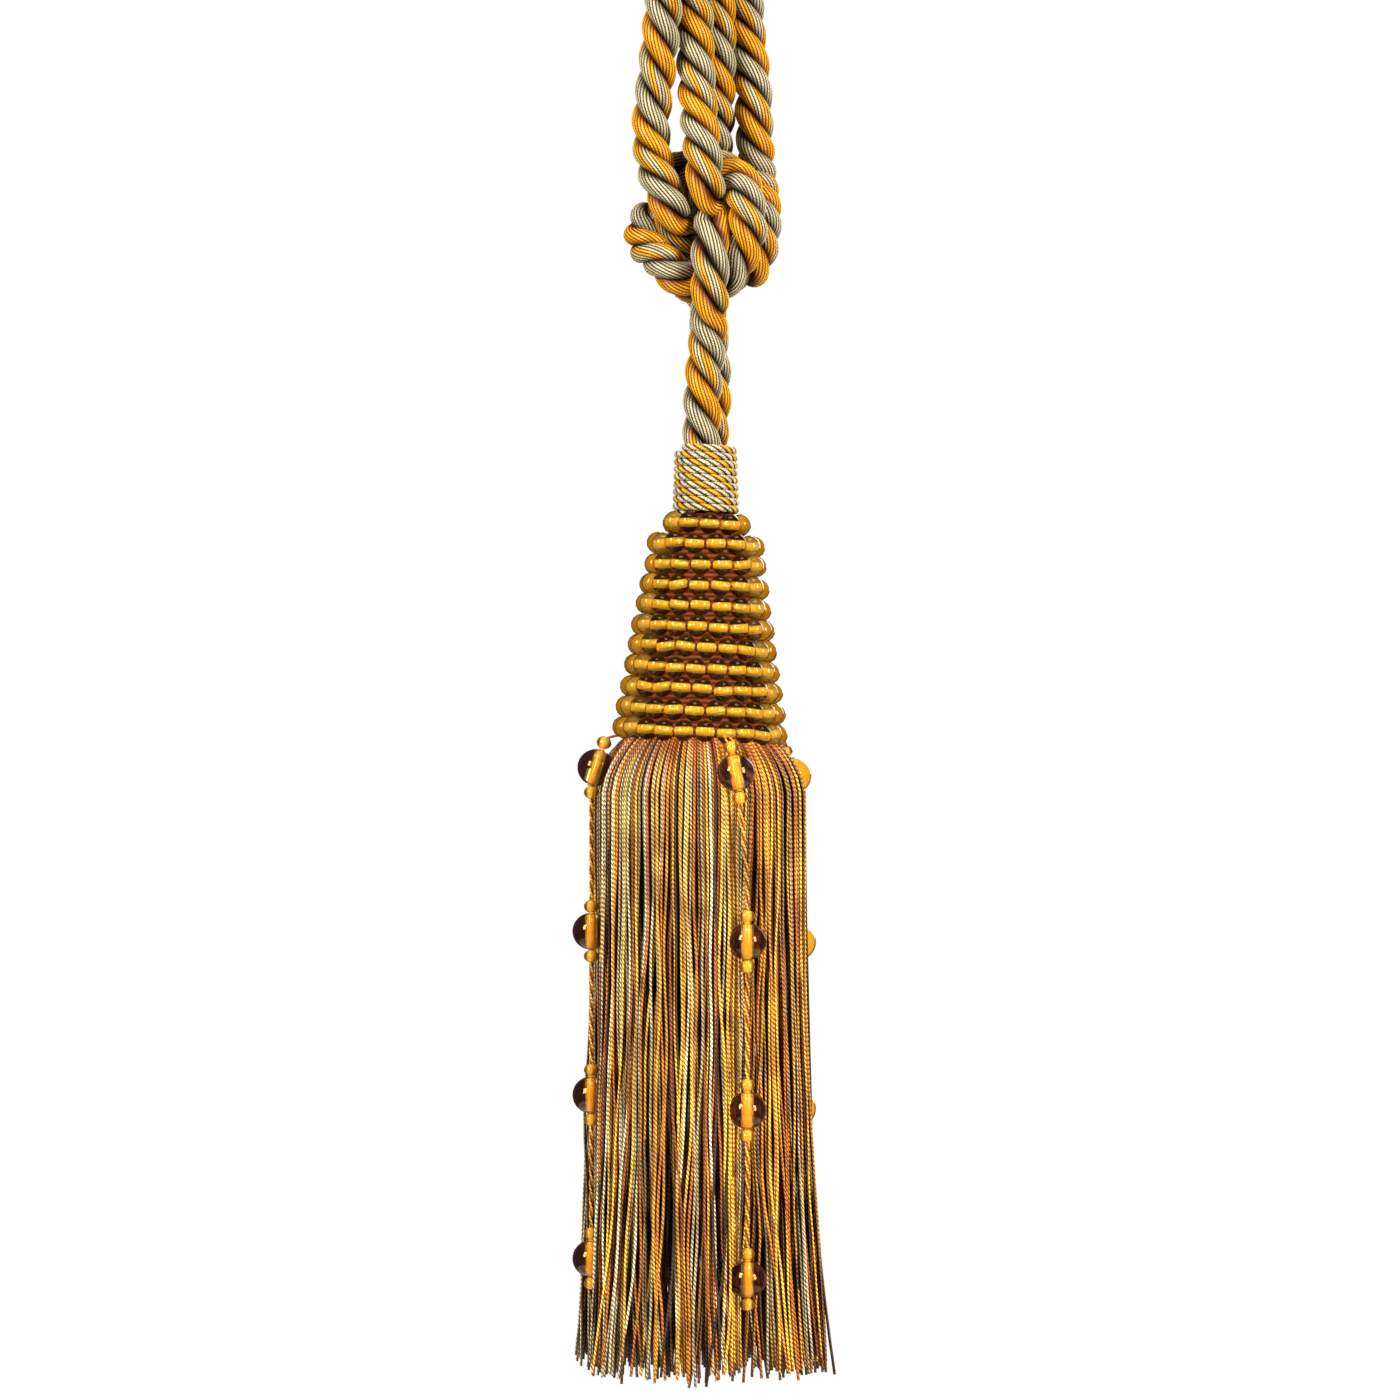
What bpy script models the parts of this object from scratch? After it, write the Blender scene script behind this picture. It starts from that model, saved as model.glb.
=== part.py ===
"""A tassel tieback: a knotted three-ply cord, a wound collar, a beaded head, a thread skirt and bead drops.

Metres, +Z up, the front towards -Y. The origin is at the underside of the cord's inner loop, where
the tieback hangs on its hook, and everything else hangs below and around it.
"""

import math

import bmesh
import bpy
import numpy as np
from mathutils import Vector

# The cord: three plies laid up left-handed, one length from end to end.
CORD_DIAMETER = 0.0091
CORD_PITCH = 0.0235
CORD_STEP = 0.0024
CORD_VALLEY = 0.70
PLY_CREST_DEGREES = 22
LAY_EASE = 0.012

# How the cord's passes press each other aside.
CORD_CLEARANCE = 0.00045
PRESS_ROUNDS = 400
PRESS_REACH = 0.0135
PRESS_HOLD = (0.02, 0.004, 0.02)
PRESS_PUSH = 0.2
PRESS_EASE = 0.03

# The cord's route in passes, each point (x, y, z) on its centre line, chosen by eye from the front view.
CORD_ROUTE = {
    "front neck strand, going up out of the collar": [
        (-0.0005, -0.0045, -0.1440),
        (-0.0008, -0.0045, -0.1270),
        (-0.0006, -0.0046, -0.1145),
        (0.0002, -0.0047, -0.1060),
        (0.0010, -0.0054, -0.0980),
        (0.0011, -0.0083, -0.0920),
        (0.0012, -0.0118, -0.0866),
        (0.0013, -0.0124, -0.0806),
    ],
    "turn in and out of the middle of the knot": [
        (0.0015, -0.0092, -0.0762),
        (0.0015, -0.0040, -0.0738),
        (0.0013, -0.0020, -0.0706),
        (0.0010, -0.0040, -0.0674),
        (0.0006, -0.0090, -0.0652),
    ],
    "front middle strand": [
        (0.0000, -0.0118, -0.0606),
        (-0.0009, -0.0098, -0.0532),
        (-0.0016, -0.0072, -0.0458),
        (-0.0022, -0.0049, -0.0370),
        (-0.0026, -0.0041, -0.0215),
        (-0.0028, -0.0060, -0.0120),
    ],
    "inner loop, over the hook": [
        (-0.0027, -0.0088, -0.0040),
        (-0.0018, -0.0067, 0.0024),
        (0.0000, 0.0000, 0.0048),
        (0.0018, 0.0067, 0.0024),
        (0.0027, 0.0088, -0.0040),
    ],
    "back middle strand": [
        (0.0028, 0.0060, -0.0120),
        (0.0030, 0.0041, -0.0215),
        (0.0033, 0.0043, -0.0340),
        (0.0029, 0.0052, -0.0450),
        (0.0024, 0.0070, -0.0510),
    ],
    "behind the knot and out to its left": [
        (0.0012, 0.0092, -0.0570),
        (-0.0012, 0.0090, -0.0630),
        (-0.0048, 0.0084, -0.0670),
        (-0.0090, 0.0070, -0.0686),
        (-0.0124, 0.0046, -0.0690),
    ],
    "left lobe, down and under": [
        (-0.0140, 0.0015, -0.0706),
        (-0.0143, -0.0012, -0.0742),
        (-0.0129, -0.0046, -0.0782),
        (-0.0104, -0.0074, -0.0820),
        (-0.0072, -0.0068, -0.0858),
        (-0.0028, -0.0030, -0.0882),
        (0.0025, -0.0012, -0.0880),
        (0.0072, -0.0026, -0.0846),
    ],
    "right lobe, up and over": [
        (0.0089, -0.0054, -0.0790),
        (0.0091, -0.0074, -0.0730),
        (0.0088, -0.0076, -0.0675),
        (0.0079, -0.0056, -0.0620),
        (0.0048, -0.0014, -0.0588),
        (0.0000, -0.0005, -0.0580),
        (-0.0042, 0.0022, -0.0588),
    ],
    "down the back of the knot": [
        (-0.0070, 0.0086, -0.0600),
        (-0.0034, 0.0146, -0.0614),
        (0.0024, 0.0170, -0.0654),
        (0.0030, 0.0174, -0.0704),
        (0.0006, 0.0170, -0.0756),
        (0.0030, 0.0146, -0.0810),
        (0.0090, 0.0090, -0.0844),
    ],
    "right edge of the knot, going up": [
        (0.0120, 0.0058, -0.0836),
        (0.0136, 0.0042, -0.0790),
        (0.0144, 0.0036, -0.0740),
        (0.0146, 0.0046, -0.0690),
        (0.0140, 0.0080, -0.0645),
        (0.0132, 0.0086, -0.0600),
        (0.0128, 0.0058, -0.0550),
    ],
    "back right strand": [
        (0.0125, 0.0042, -0.0500),
        (0.0119, 0.0055, -0.0410),
        (0.0111, 0.0080, -0.0310),
        (0.0103, 0.0108, -0.0210),
        (0.0100, 0.0125, -0.0115),
    ],
    "outer loop, over the inner one": [
        (0.0100, 0.0145, -0.0010),
        (0.0090, 0.0125, 0.0070),
        (0.0060, 0.0078, 0.0125),
        (0.0000, 0.0000, 0.0148),
        (-0.0060, -0.0078, 0.0125),
        (-0.0090, -0.0125, 0.0070),
        (-0.0100, -0.0145, -0.0010),
    ],
    "front left strand": [
        (-0.0100, -0.0125, -0.0115),
        (-0.0105, -0.0103, -0.0210),
        (-0.0113, -0.0085, -0.0290),
        (-0.0125, -0.0063, -0.0390),
        (-0.0135, -0.0050, -0.0465),
        (-0.0134, -0.0056, -0.0530),
        (-0.0123, -0.0080, -0.0595),
    ],
    "into the middle of the knot from the left": [
        (-0.0102, -0.0098, -0.0650),
        (-0.0078, -0.0088, -0.0692),
        (-0.0058, -0.0052, -0.0730),
        (-0.0054, 0.0008, -0.0756),
        (-0.0048, 0.0065, -0.0790),
        (-0.0025, 0.0066, -0.0835),
        (0.0002, 0.0058, -0.0895),
    ],
    "back neck strand, going down into the collar": [
        (0.0008, 0.0052, -0.0950),
        (0.0012, 0.0048, -0.1030),
        (0.0020, 0.0047, -0.1120),
        (0.0010, 0.0046, -0.1270),
        (0.0008, 0.0045, -0.1440),
    ],
}

# Where a ply's crest is seen from the front, chosen by eye: (x, y, z) beside the route, and which ply.
GOLD, MIXED, GREY = 0, 1, 2
PLY_CROSSINGS = [
    (0.0008, -0.0048, -0.1148, GOLD),
    (0.0009, -0.0070, -0.0925, GOLD),
    (0.0012, -0.0124, -0.0785, GREY),
    (0.0004, -0.0095, -0.0662, GOLD),
    (-0.0015, -0.0064, -0.0460, GOLD),
    (-0.0028, -0.0042, -0.0228, GOLD),
    (0.0028, 0.0044, -0.0338, GOLD),
    (-0.0146, -0.0030, -0.0774, GOLD),
    (-0.0046, -0.0044, -0.0874, GOLD),
    (0.0100, -0.0068, -0.0755, GOLD),
    (0.0064, -0.0028, -0.0586, GOLD),
    (0.0136, 0.0042, -0.0795, GOLD),
    (0.0146, 0.0048, -0.0680, GREY),
    (0.0129, 0.0062, -0.0560, GREY),
    (0.0125, 0.0041, -0.0490, GOLD),
    (0.0112, 0.0085, -0.0255, GOLD),
    (-0.0114, -0.0086, -0.0295, GOLD),
    (-0.0133, -0.0053, -0.0529, GOLD),
    (-0.0070, -0.0065, -0.0715, GOLD),
]

# The collar: fine cord wound round the two neck strands, which it flattens.
COLLAR_TOP = -0.1272
COLLAR_BOTTOM = -0.1446
COLLAR_TURNS = 9
COLLAR_TOP_RADIUS = 0.0079
COLLAR_BOTTOM_RADIUS = 0.0085
COLLAR_GROOVE = 0.0005
COLLAR_BORE = 0.0068
COLLAR_CENTRE_X = 0.0002
NECK_DEPTH = 0.00925
GRIP_DEPTH = 0.0056
GRIP_START = -0.1160

# The beaded head: a core with rows of strung beads.
BEAD_DIAMETER = 0.0052
ROW_TOP = -0.14725
ROW_PITCH = 0.005175
ROW_COUNT = 11
TOP_ROW_RADIUS = 0.01125
SECOND_ROW_RADIUS = 0.0146
LAST_ROW_RADIUS = 0.0219
BEAD_RIDGE_DEGREES = 50
HEAD_TOP_X = 0.0004
HEAD_BOTTOM_X = -0.0012

# The skirt: rings of strands that leave the band under the head, bulge and hang.
SKIRT_X = -0.0018
BAND_TOP = -0.2026
BAND_THICKNESS = 0.0032
BAND_RADIUS = 0.0203
STRAND_WIDTH = 0.00125
SKIRT_BOTTOM = -0.3576
SKIRT_RINGS = [
    # (strands, root radius, shoulder radius, hem radius, length left off at the hem)
    (92, 0.0188, 0.0256, 0.0300, 0.0),
    (64, 0.0160, 0.0226, 0.0260, 0.002),
    (38, 0.0118, 0.0172, 0.0200, 0.003),
    (18, 0.0070, 0.0100, 0.0118, 0.004),
    (6, 0.0025, 0.0036, 0.0045, 0.005),
]
SHOULDER_DROP = 0.0120
HEM_WAVE = 0.0012

# The bead drops: large and small beads on a doubled thread, each in a parting of the skirt.
BEAD_DROPS = {
    # side: (degrees round from the front at the root, the same lower down, first small bead, large bead pitch)
    "front": (20.0, 27.0, -0.2030, 0.0415),
    "right": (111.0, 111.0, -0.2042, 0.0419),
    "back": (197.0, 195.0, -0.2034, 0.0412),
    "left": (278.0, 278.0, -0.2020, 0.0408),
}
DROP_RADIUS = 0.0268
DROP_ROOT_RADIUS = 0.0230
DROP_SWING = 0.0360
DROP_STATIONS = 4
THREAD_RADIUS = 0.0008
LARGE_BEAD_RADIUS = 0.0045
SMALL_BEAD_RADIUS = 0.0016
PARTING_HALF_WIDTH = 0.0056
PARTED_RADIUS = 0.0215

COLLECTION = "tassel_tieback"


def smooth_points(points, step):
    """Points about every step along the smooth curve (centripetal Catmull-Rom) through the given ones."""
    given = np.array(points)
    ends = np.vstack([2 * given[0] - given[1], given, 2 * given[-1] - given[-2]])
    p0, p1, p2, p3 = ends[:-3], ends[1:-2], ends[2:-1], ends[3:]
    a, b, c = (np.sqrt(np.linalg.norm(q - p, axis=1))[:, None] for p, q in ((p0, p1), (p1, p2), (p2, p3)))
    leave = b * ((p1 - p0) / a - (p2 - p0) / (a + b) + (p2 - p1) / b)
    arrive = b * ((p2 - p1) / b - (p3 - p1) / (b + c) + (p3 - p2) / c)
    u = np.linspace(0, 1, 12, endpoint=False)[None, :, None]
    pieces = (
        (2 * u**3 - 3 * u**2 + 1) * p1[:, None]
        + (u**3 - 2 * u**2 + u) * leave[:, None]
        + (3 * u**2 - 2 * u**3) * p2[:, None]
        + (u**3 - u**2) * arrive[:, None]
    )
    return evenly_spaced(np.vstack([pieces.reshape(-1, 3), given[-1:]]), step)


def evenly_spaced(line, step):
    """The same line with its points about a step apart."""
    along = np.concatenate([[0], np.cumsum(np.linalg.norm(np.diff(line, axis=0), axis=1))])
    wanted = np.linspace(0, along[-1], round(along[-1] / step) + 1)
    return np.stack([np.interp(wanted, along, line[:, axis]) for axis in range(3)], axis=1)


def pressed_apart(route):
    """The route once its passes have pressed each other aside, until the cord clears itself.

    Each round pulls every point towards the chosen route, mostly as seen from the front, eases the
    bends, and pushes apart the points that lie closer than the cord is thick.
    """
    line = route.copy()
    distance = CORD_DIAMETER + CORD_CLEARANCE
    apart = int(PRESS_REACH / CORD_STEP) + 1
    first, second = np.triu_indices(len(line), apart)
    for _ in range(PRESS_ROUNDS):
        line += np.array(PRESS_HOLD) * (route - line)
        line[1:-1] += PRESS_EASE * ((line[:-2] + line[2:]) / 2 - line[1:-1])
        across = line[first] - line[second]
        length = np.linalg.norm(across, axis=1)
        close = length < distance
        push = across[close] / length[close, None] * (PRESS_PUSH * (distance - length[close]))[:, None]
        np.add.at(line, first[close], push)
        np.add.at(line, second[close], -push)
    return evenly_spaced(line, CORD_STEP)


def square_to(direction, tangent):
    """The direction with its share along the tangent taken away, one unit long."""
    across = direction - direction @ tangent * tangent
    return across / np.linalg.norm(across)


def carried_frames(line):
    """Tangent, normal and binormal at each point, carried along the line without any twist of their own."""
    steps = np.diff(line, axis=0)
    steps /= np.linalg.norm(steps, axis=1)[:, None]
    tangents = np.vstack([steps[:1], steps[:-1] + steps[1:], steps[-1:]])
    tangents /= np.linalg.norm(tangents, axis=1)[:, None]
    normals = np.zeros_like(tangents)
    normals[0] = square_to(np.array([0, -1.0, 0]), tangents[0])
    for index in range(1, len(line)):
        axis = np.cross(tangents[index - 1], tangents[index])
        cosine = tangents[index - 1] @ tangents[index]
        old = normals[index - 1]
        turned_over = old * cosine + np.cross(axis, old) + axis * (axis @ old) / (1 + cosine)
        normals[index] = square_to(turned_over, tangents[index])
    return tangents, normals, np.cross(tangents, normals)


def lay_turns(line):
    """How many turns the plies have made at each point of the line, left-handed, from the chosen crossings.

    Between two crossings the plies make the number of turns that comes nearest to the cord's pitch.
    """
    tangents, normals, binormals = carried_frames(line)
    known = []
    for x, y, z, ply in PLY_CROSSINGS:
        index = int(np.argmin(np.linalg.norm(line - np.array([x, y, z]), axis=1)))
        front = square_to(np.array([0, -1.0, 0]), tangents[index])
        angle = math.atan2(front @ binormals[index], front @ normals[index])
        known.append((index, angle / (2 * math.pi) - ply / 3))
    known.sort()
    places = [index for index, _ in known]
    turns_there = [known[0][1]]
    for (last, _), (index, turn) in zip(known, known[1:]):
        expected = turns_there[-1] - (index - last) * CORD_STEP / CORD_PITCH
        turns_there.append(turn + round(expected - turn))
    count = np.arange(len(line))
    turns = np.interp(count, places, turns_there)
    turns -= np.minimum(count - places[0], 0) * CORD_STEP / CORD_PITCH
    turns -= np.maximum(count - places[-1], 0) * CORD_STEP / CORD_PITCH
    width = int(LAY_EASE / CORD_STEP)
    weights = np.hanning(2 * width + 3)[1:-1]
    before = 2 * turns[0] - turns[width:0:-1]
    after = 2 * turns[-1] - turns[-2 : -width - 2 : -1]
    return np.convolve(np.concatenate([before, turns, after]), weights / weights.sum(), "valid")


def crest_angle_at_start(line):
    """Where the first ply's crest starts on the untwisted cord: its angle from the normal to the binormal."""
    tangents, normals, binormals = carried_frames(line)
    crest = np.array(Vector(tangents[0]).to_track_quat("-Z", "Y") @ Vector((1, 0, 0)))
    return math.atan2(crest @ binormals[0], crest @ normals[0])


def new_material(name, colour, roughness, metallic=0.0):
    """A plain Principled material in a linear RGB colour."""
    material = bpy.data.materials.new(name)
    material.use_nodes = True
    shader = material.node_tree.nodes["Principled BSDF"]
    shader.inputs["Base Color"].default_value = (*colour, 1)
    shader.inputs["Roughness"].default_value = roughness
    shader.inputs["Metallic"].default_value = metallic
    return material


def place(obj, collection, material=None):
    """Puts a new object in its collection, with its material."""
    collection.objects.link(obj)
    if material:
        obj.data.materials.append(material)
    return obj


def mesh_of_curve(curve_object, name):
    """The curve's evaluated mesh with its caps welded on, as a new mesh. The curve is removed."""
    graph = bpy.context.evaluated_depsgraph_get()
    mesh = bpy.data.meshes.new_from_object(curve_object.evaluated_get(graph))
    mesh.name = name
    bpy.data.objects.remove(curve_object)
    model = bmesh.new()
    model.from_mesh(mesh)
    bmesh.ops.remove_doubles(model, verts=model.verts, dist=0.000001)
    bmesh.ops.recalc_face_normals(model, faces=model.faces)
    model.to_mesh(mesh)
    model.free()
    return mesh


def make_profile(guides):
    """The cord's cross-section: three round plies, each with two points on its crest and one in the valley."""
    curve = bpy.data.curves.new("cord_profile", "CURVE")
    curve.dimensions = "2D"
    spline = curve.splines.new("POLY")
    spline.points.add(8)
    spline.use_cyclic_u = True
    for ply in range(3):
        corners = [(-PLY_CREST_DEGREES, 1.0), (PLY_CREST_DEGREES, 1.0), (60, CORD_VALLEY)]
        for corner, (turn, share) in enumerate(corners):
            angle = math.radians(120 * ply + turn)
            radius = CORD_DIAMETER / 2 * share
            spline.points[3 * ply + corner].co = (radius * math.cos(angle), radius * math.sin(angle), 0, 1)
    profile = place(bpy.data.objects.new("cord_profile", curve), guides)
    profile.hide_render = True
    profile.display_type = "WIRE"
    return profile


def make_cord(collection, guides, material):
    """The whole cord: a twisted three-lobed tube along its route, flattened where the collar grips it."""
    chosen = [point for run in CORD_ROUTE.values() for point in run]
    line = pressed_apart(smooth_points(chosen, CORD_STEP))
    curve = bpy.data.curves.new("cord", "CURVE")
    curve.dimensions = "3D"
    curve.bevel_mode = "OBJECT"
    curve.bevel_object = make_profile(guides)
    curve.use_fill_caps = True
    spline = curve.splines.new("POLY")
    spline.points.add(len(line) - 1)
    start = crest_angle_at_start(line)
    for index, (point, turn) in enumerate(zip(line, lay_turns(line))):
        spline.points[index].co = (*point, 1)
        spline.points[index].tilt = 2 * math.pi * turn - start
    mesh = mesh_of_curve(place(bpy.data.objects.new("cord_curve", curve), guides), "cord")
    for vertex in mesh.vertices:
        grip = min(max((GRIP_START - vertex.co.z) / (GRIP_START - COLLAR_TOP), 0), 1)
        vertex.co.y *= 1 - grip * (1 - GRIP_DEPTH / NECK_DEPTH)
    return place(bpy.data.objects.new("cord", mesh), collection, material)


def turned(name, profile, steps, collection, material):
    """A solid turned about Z from a closed profile of (radius, z) points, listed down its outer side."""
    mesh = bpy.data.meshes.new(name)
    points = [(radius, 0, z) for radius, z in profile]
    mesh.from_pydata(points, [(i, (i + 1) % len(points)) for i in range(len(points))], [])
    obj = place(bpy.data.objects.new(name, mesh), collection, material)
    screw = obj.modifiers.new("turn", "SCREW")
    screw.steps = steps
    screw.render_steps = steps
    screw.use_merge_vertices = True
    screw.merge_threshold = 0.00001
    screw.use_smooth_shade = True
    return obj


def make_collar(collection, material):
    """The whipping: a ring with one rounded ridge for each turn of the fine cord."""
    turn_height = (COLLAR_TOP - COLLAR_BOTTOM) / COLLAR_TURNS
    profile = [(COLLAR_BORE, COLLAR_TOP)]
    for turn in range(COLLAR_TURNS):
        radius = COLLAR_TOP_RADIUS + (COLLAR_BOTTOM_RADIUS - COLLAR_TOP_RADIUS) * turn / (COLLAR_TURNS - 1)
        top = COLLAR_TOP - turn * turn_height
        profile.append((radius - COLLAR_GROOVE, top))
        profile.append((radius, top - 0.3 * turn_height))
        profile.append((radius, top - 0.7 * turn_height))
    profile.append((COLLAR_BOTTOM_RADIUS - COLLAR_GROOVE, COLLAR_BOTTOM))
    profile.append((COLLAR_BORE, COLLAR_BOTTOM))
    collar = turned("collar", profile, 24, collection, material)
    collar.location.x = COLLAR_CENTRE_X
    return collar


def row_radius(row):
    """The outer radius of a row of beads: the top row is drawn in, the others widen evenly."""
    if row == 0:
        return TOP_ROW_RADIUS
    return SECOND_ROW_RADIUS + (LAST_ROW_RADIUS - SECOND_ROW_RADIUS) * (row - 1) / (ROW_COUNT - 2)


def make_head(collection, material):
    """The beaded head: the core and its rows of beads as one turned solid, with a round ridge a row."""
    half = BEAD_DIAMETER / 2
    top = ROW_TOP + 0.8 * half
    profile = [(0, top), (row_radius(0) - 1.6 * half, top)]
    for row in range(ROW_COUNT):
        z = ROW_TOP - row * ROW_PITCH
        for degrees in (BEAD_RIDGE_DEGREES, 0, -BEAD_RIDGE_DEGREES):
            angle = math.radians(degrees)
            profile.append((row_radius(row) - half + half * math.cos(angle), z + half * math.sin(angle)))
    bottom = ROW_TOP - (ROW_COUNT - 1) * ROW_PITCH - half
    profile += [(row_radius(ROW_COUNT - 1) - 1.2 * half, bottom), (0, bottom)]
    head = turned("bead_head", profile, 24, collection, material)
    for point in head.data.vertices:
        point.co.z -= ROW_TOP
    head.location = (HEAD_TOP_X, 0, ROW_TOP)
    head.rotation_euler.y = math.atan((HEAD_TOP_X - HEAD_BOTTOM_X) / (ROW_PITCH * (ROW_COUNT - 1)))
    return head


def in_parting(angle, radius):
    """Whether a strand at this angle and radius would hang where a bead drop does."""
    margin = PARTING_HALF_WIDTH / radius
    for root_degrees, hanging_degrees, _, _ in BEAD_DROPS.values():
        middle = math.radians((root_degrees + hanging_degrees) / 2)
        reach = math.radians(abs(root_degrees - hanging_degrees) / 2)
        gap = abs((angle - middle + math.pi) % (2 * math.pi) - math.pi)
        if gap < margin + reach:
            return True
    return False


def around(angle, radius, z):
    """The point at an angle from the front, turning towards +X, on a circle about the skirt's axis."""
    return (SKIRT_X + radius * math.sin(angle), -radius * math.cos(angle), z)


def add_strand(model, line, angle):
    """One three-sided strand with a flat foot, its flat side outwards, along a line of points."""
    outward = STRAND_WIDTH * np.array([math.sin(angle), -math.cos(angle), 0])
    sideways = STRAND_WIDTH * np.array([math.cos(angle), math.sin(angle), 0])
    corners = [0.3 * outward - 0.5 * sideways, 0.3 * outward + 0.5 * sideways, -0.5 * outward]
    rings = [[model.verts.new(np.array(point) + corner) for corner in corners] for point in line]
    for upper, lower in zip(rings, rings[1:]):
        for side in range(3):
            after = (side + 1) % 3
            model.faces.new((upper[side], lower[side], lower[after], upper[after]))
    model.faces.new((rings[0][0], rings[0][1], rings[0][2]))
    model.faces.new((rings[-1][2], rings[-1][1], rings[-1][0]))


def strand_line(angle, root, shoulder, hem, bottom):
    """The line a strand hangs in: out from under the head, over the shoulder and down to the hem."""
    root_z = BAND_TOP - 0.6 * BAND_THICKNESS
    return [
        around(angle, root, root_z),
        around(angle, root + 0.62 * (shoulder - root), root_z - 0.30 * SHOULDER_DROP),
        around(angle, shoulder, root_z - SHOULDER_DROP),
        around(angle, shoulder + 0.25 * (hem - shoulder), root_z - 5 * SHOULDER_DROP),
        around(angle, hem, bottom),
    ]


def make_skirt(collection, guides, material):
    """The fringe: a flat band under the head, with rings of hanging strands fused to it at their roots."""
    model = bmesh.new()
    for ring, (count, root, shoulder, hem, short) in enumerate(SKIRT_RINGS):
        for index in range(count):
            angle = 2 * math.pi * (index + 0.5 * (ring % 2)) / count
            if shoulder > PARTED_RADIUS and in_parting(angle, shoulder):
                continue
            bottom = SKIRT_BOTTOM + short + HEM_WAVE * (1 + math.sin(2.4 * index + ring))
            add_strand(model, strand_line(angle, root, shoulder, hem, bottom), angle)
    mesh = bpy.data.meshes.new("skirt_strands")
    model.to_mesh(mesh)
    model.free()
    strands = place(bpy.data.objects.new("skirt_strands", mesh), guides)
    strands.hide_render = True
    strands.display_type = "WIRE"
    bpy.ops.mesh.primitive_cylinder_add(vertices=32, radius=BAND_RADIUS, depth=BAND_THICKNESS)
    band = bpy.context.object
    band.name = "skirt"
    band.location = (SKIRT_X, 0, BAND_TOP - BAND_THICKNESS / 2)
    for other in band.users_collection:
        other.objects.unlink(band)
    place(band, collection, material)
    union = band.modifiers.new("strands", "BOOLEAN")
    union.operation = "UNION"
    union.solver = "EXACT"
    union.object = strands
    return band


def drop_outline(first, pitch):
    """The string of beads as (z, radius) points from its root down: thread, small, large, small, thread."""
    small, large, thread = SMALL_BEAD_RADIUS, LARGE_BEAD_RADIUS, THREAD_RADIUS
    outline = [(first + 1.25 * small, thread)]
    for station in range(DROP_STATIONS):
        z = first - station * pitch
        outline += [(z + small, thread), (z + 0.45 * small, small), (z - 0.45 * small, small)]
        centre = z - small - large
        outline += [(centre + 0.98 * large, thread), (centre + 0.65 * large, 0.76 * large)]
        outline += [(centre + 0.22 * large, 0.98 * large), (centre - 0.22 * large, 0.98 * large)]
        outline += [(centre - 0.65 * large, 0.76 * large), (centre - 0.98 * large, thread)]
        z = centre - large - small
        outline += [(z + 0.45 * small, small), (z - 0.45 * small, small), (z - small, thread)]
    return outline


def make_drop(side, collection, material):
    """One bead drop: a tube whose radius swells at every bead, hanging beside the skirt."""
    root_degrees, hanging_degrees, first, pitch = BEAD_DROPS[side]
    curve = bpy.data.curves.new("bead_drop_" + side, "CURVE")
    curve.dimensions = "3D"
    curve.bevel_depth = 1.0
    curve.bevel_resolution = 2
    curve.use_fill_caps = True
    outline = drop_outline(first, pitch)
    spline = curve.splines.new("POLY")
    spline.points.add(len(outline) - 1)
    for index, (z, radius) in enumerate(outline):
        fallen = outline[0][0] - z
        out = DROP_ROOT_RADIUS + (DROP_RADIUS - DROP_ROOT_RADIUS) * min(fallen / SHOULDER_DROP, 1)
        degrees = root_degrees + (hanging_degrees - root_degrees) * min(fallen / DROP_SWING, 1)
        spline.points[index].co = (*around(math.radians(degrees), out, z), 1)
        spline.points[index].radius = radius
    return place(bpy.data.objects.new("bead_drop_" + side, curve), collection, material)


for old in list(bpy.data.objects):
    bpy.data.objects.remove(old, do_unlink=True)
parts = bpy.data.collections.new(COLLECTION)
helpers = bpy.data.collections.new("guides")
bpy.context.scene.collection.children.link(parts)
bpy.context.scene.collection.children.link(helpers)

cord_yarn = new_material("gold and grey cord", (0.62, 0.38, 0.10), 0.6)
collar_yarn = new_material("fine gold and grey cord", (0.66, 0.50, 0.26), 0.6)
amber_glass = new_material("amber glass beads", (0.55, 0.24, 0.03), 0.15)
drop_glass = new_material("brown glass beads", (0.30, 0.10, 0.02), 0.1)
skirt_yarn = new_material("gold, rust and grey threads", (0.55, 0.30, 0.08), 0.6)

make_cord(parts, helpers, cord_yarn)
make_collar(parts, collar_yarn)
make_head(parts, amber_glass)
make_skirt(parts, helpers, skirt_yarn)
for drop_side in BEAD_DROPS:
    make_drop(drop_side, parts, drop_glass)
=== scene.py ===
"""The tassel tieback dressed: three-ply cord, wound collar, beaded head, thread skirt and bead drops.

Metres, in the CAD frame: +Z up, the front towards -Y, the origin where the hook carries the cord.
"""

import functools
import math

import bpy
import numpy as np
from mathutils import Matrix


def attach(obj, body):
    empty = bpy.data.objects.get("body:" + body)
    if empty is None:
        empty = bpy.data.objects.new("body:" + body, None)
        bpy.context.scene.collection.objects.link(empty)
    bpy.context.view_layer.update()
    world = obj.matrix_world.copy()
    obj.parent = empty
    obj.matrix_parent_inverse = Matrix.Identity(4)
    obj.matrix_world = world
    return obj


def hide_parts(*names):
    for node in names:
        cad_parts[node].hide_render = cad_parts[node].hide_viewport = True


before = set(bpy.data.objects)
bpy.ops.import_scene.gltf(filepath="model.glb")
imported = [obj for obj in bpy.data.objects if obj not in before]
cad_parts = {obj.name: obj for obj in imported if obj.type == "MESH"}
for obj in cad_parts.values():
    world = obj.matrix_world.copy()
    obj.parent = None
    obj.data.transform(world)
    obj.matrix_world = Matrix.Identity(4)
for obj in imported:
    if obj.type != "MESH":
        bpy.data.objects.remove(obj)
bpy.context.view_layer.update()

# The studio: a camera level with the middle of the tassel, a white surround, a pale round table top far
# below, a large soft light from the left and a weaker one from the right, which make the two window
# shapes that each bead shows, and a light from behind that shines through the glass.
VIEW_WIDTH = 0.350
VIEW_DISTANCE = 1.4
VIEW_CENTRE = (-0.00125, -0.19125)
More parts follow.
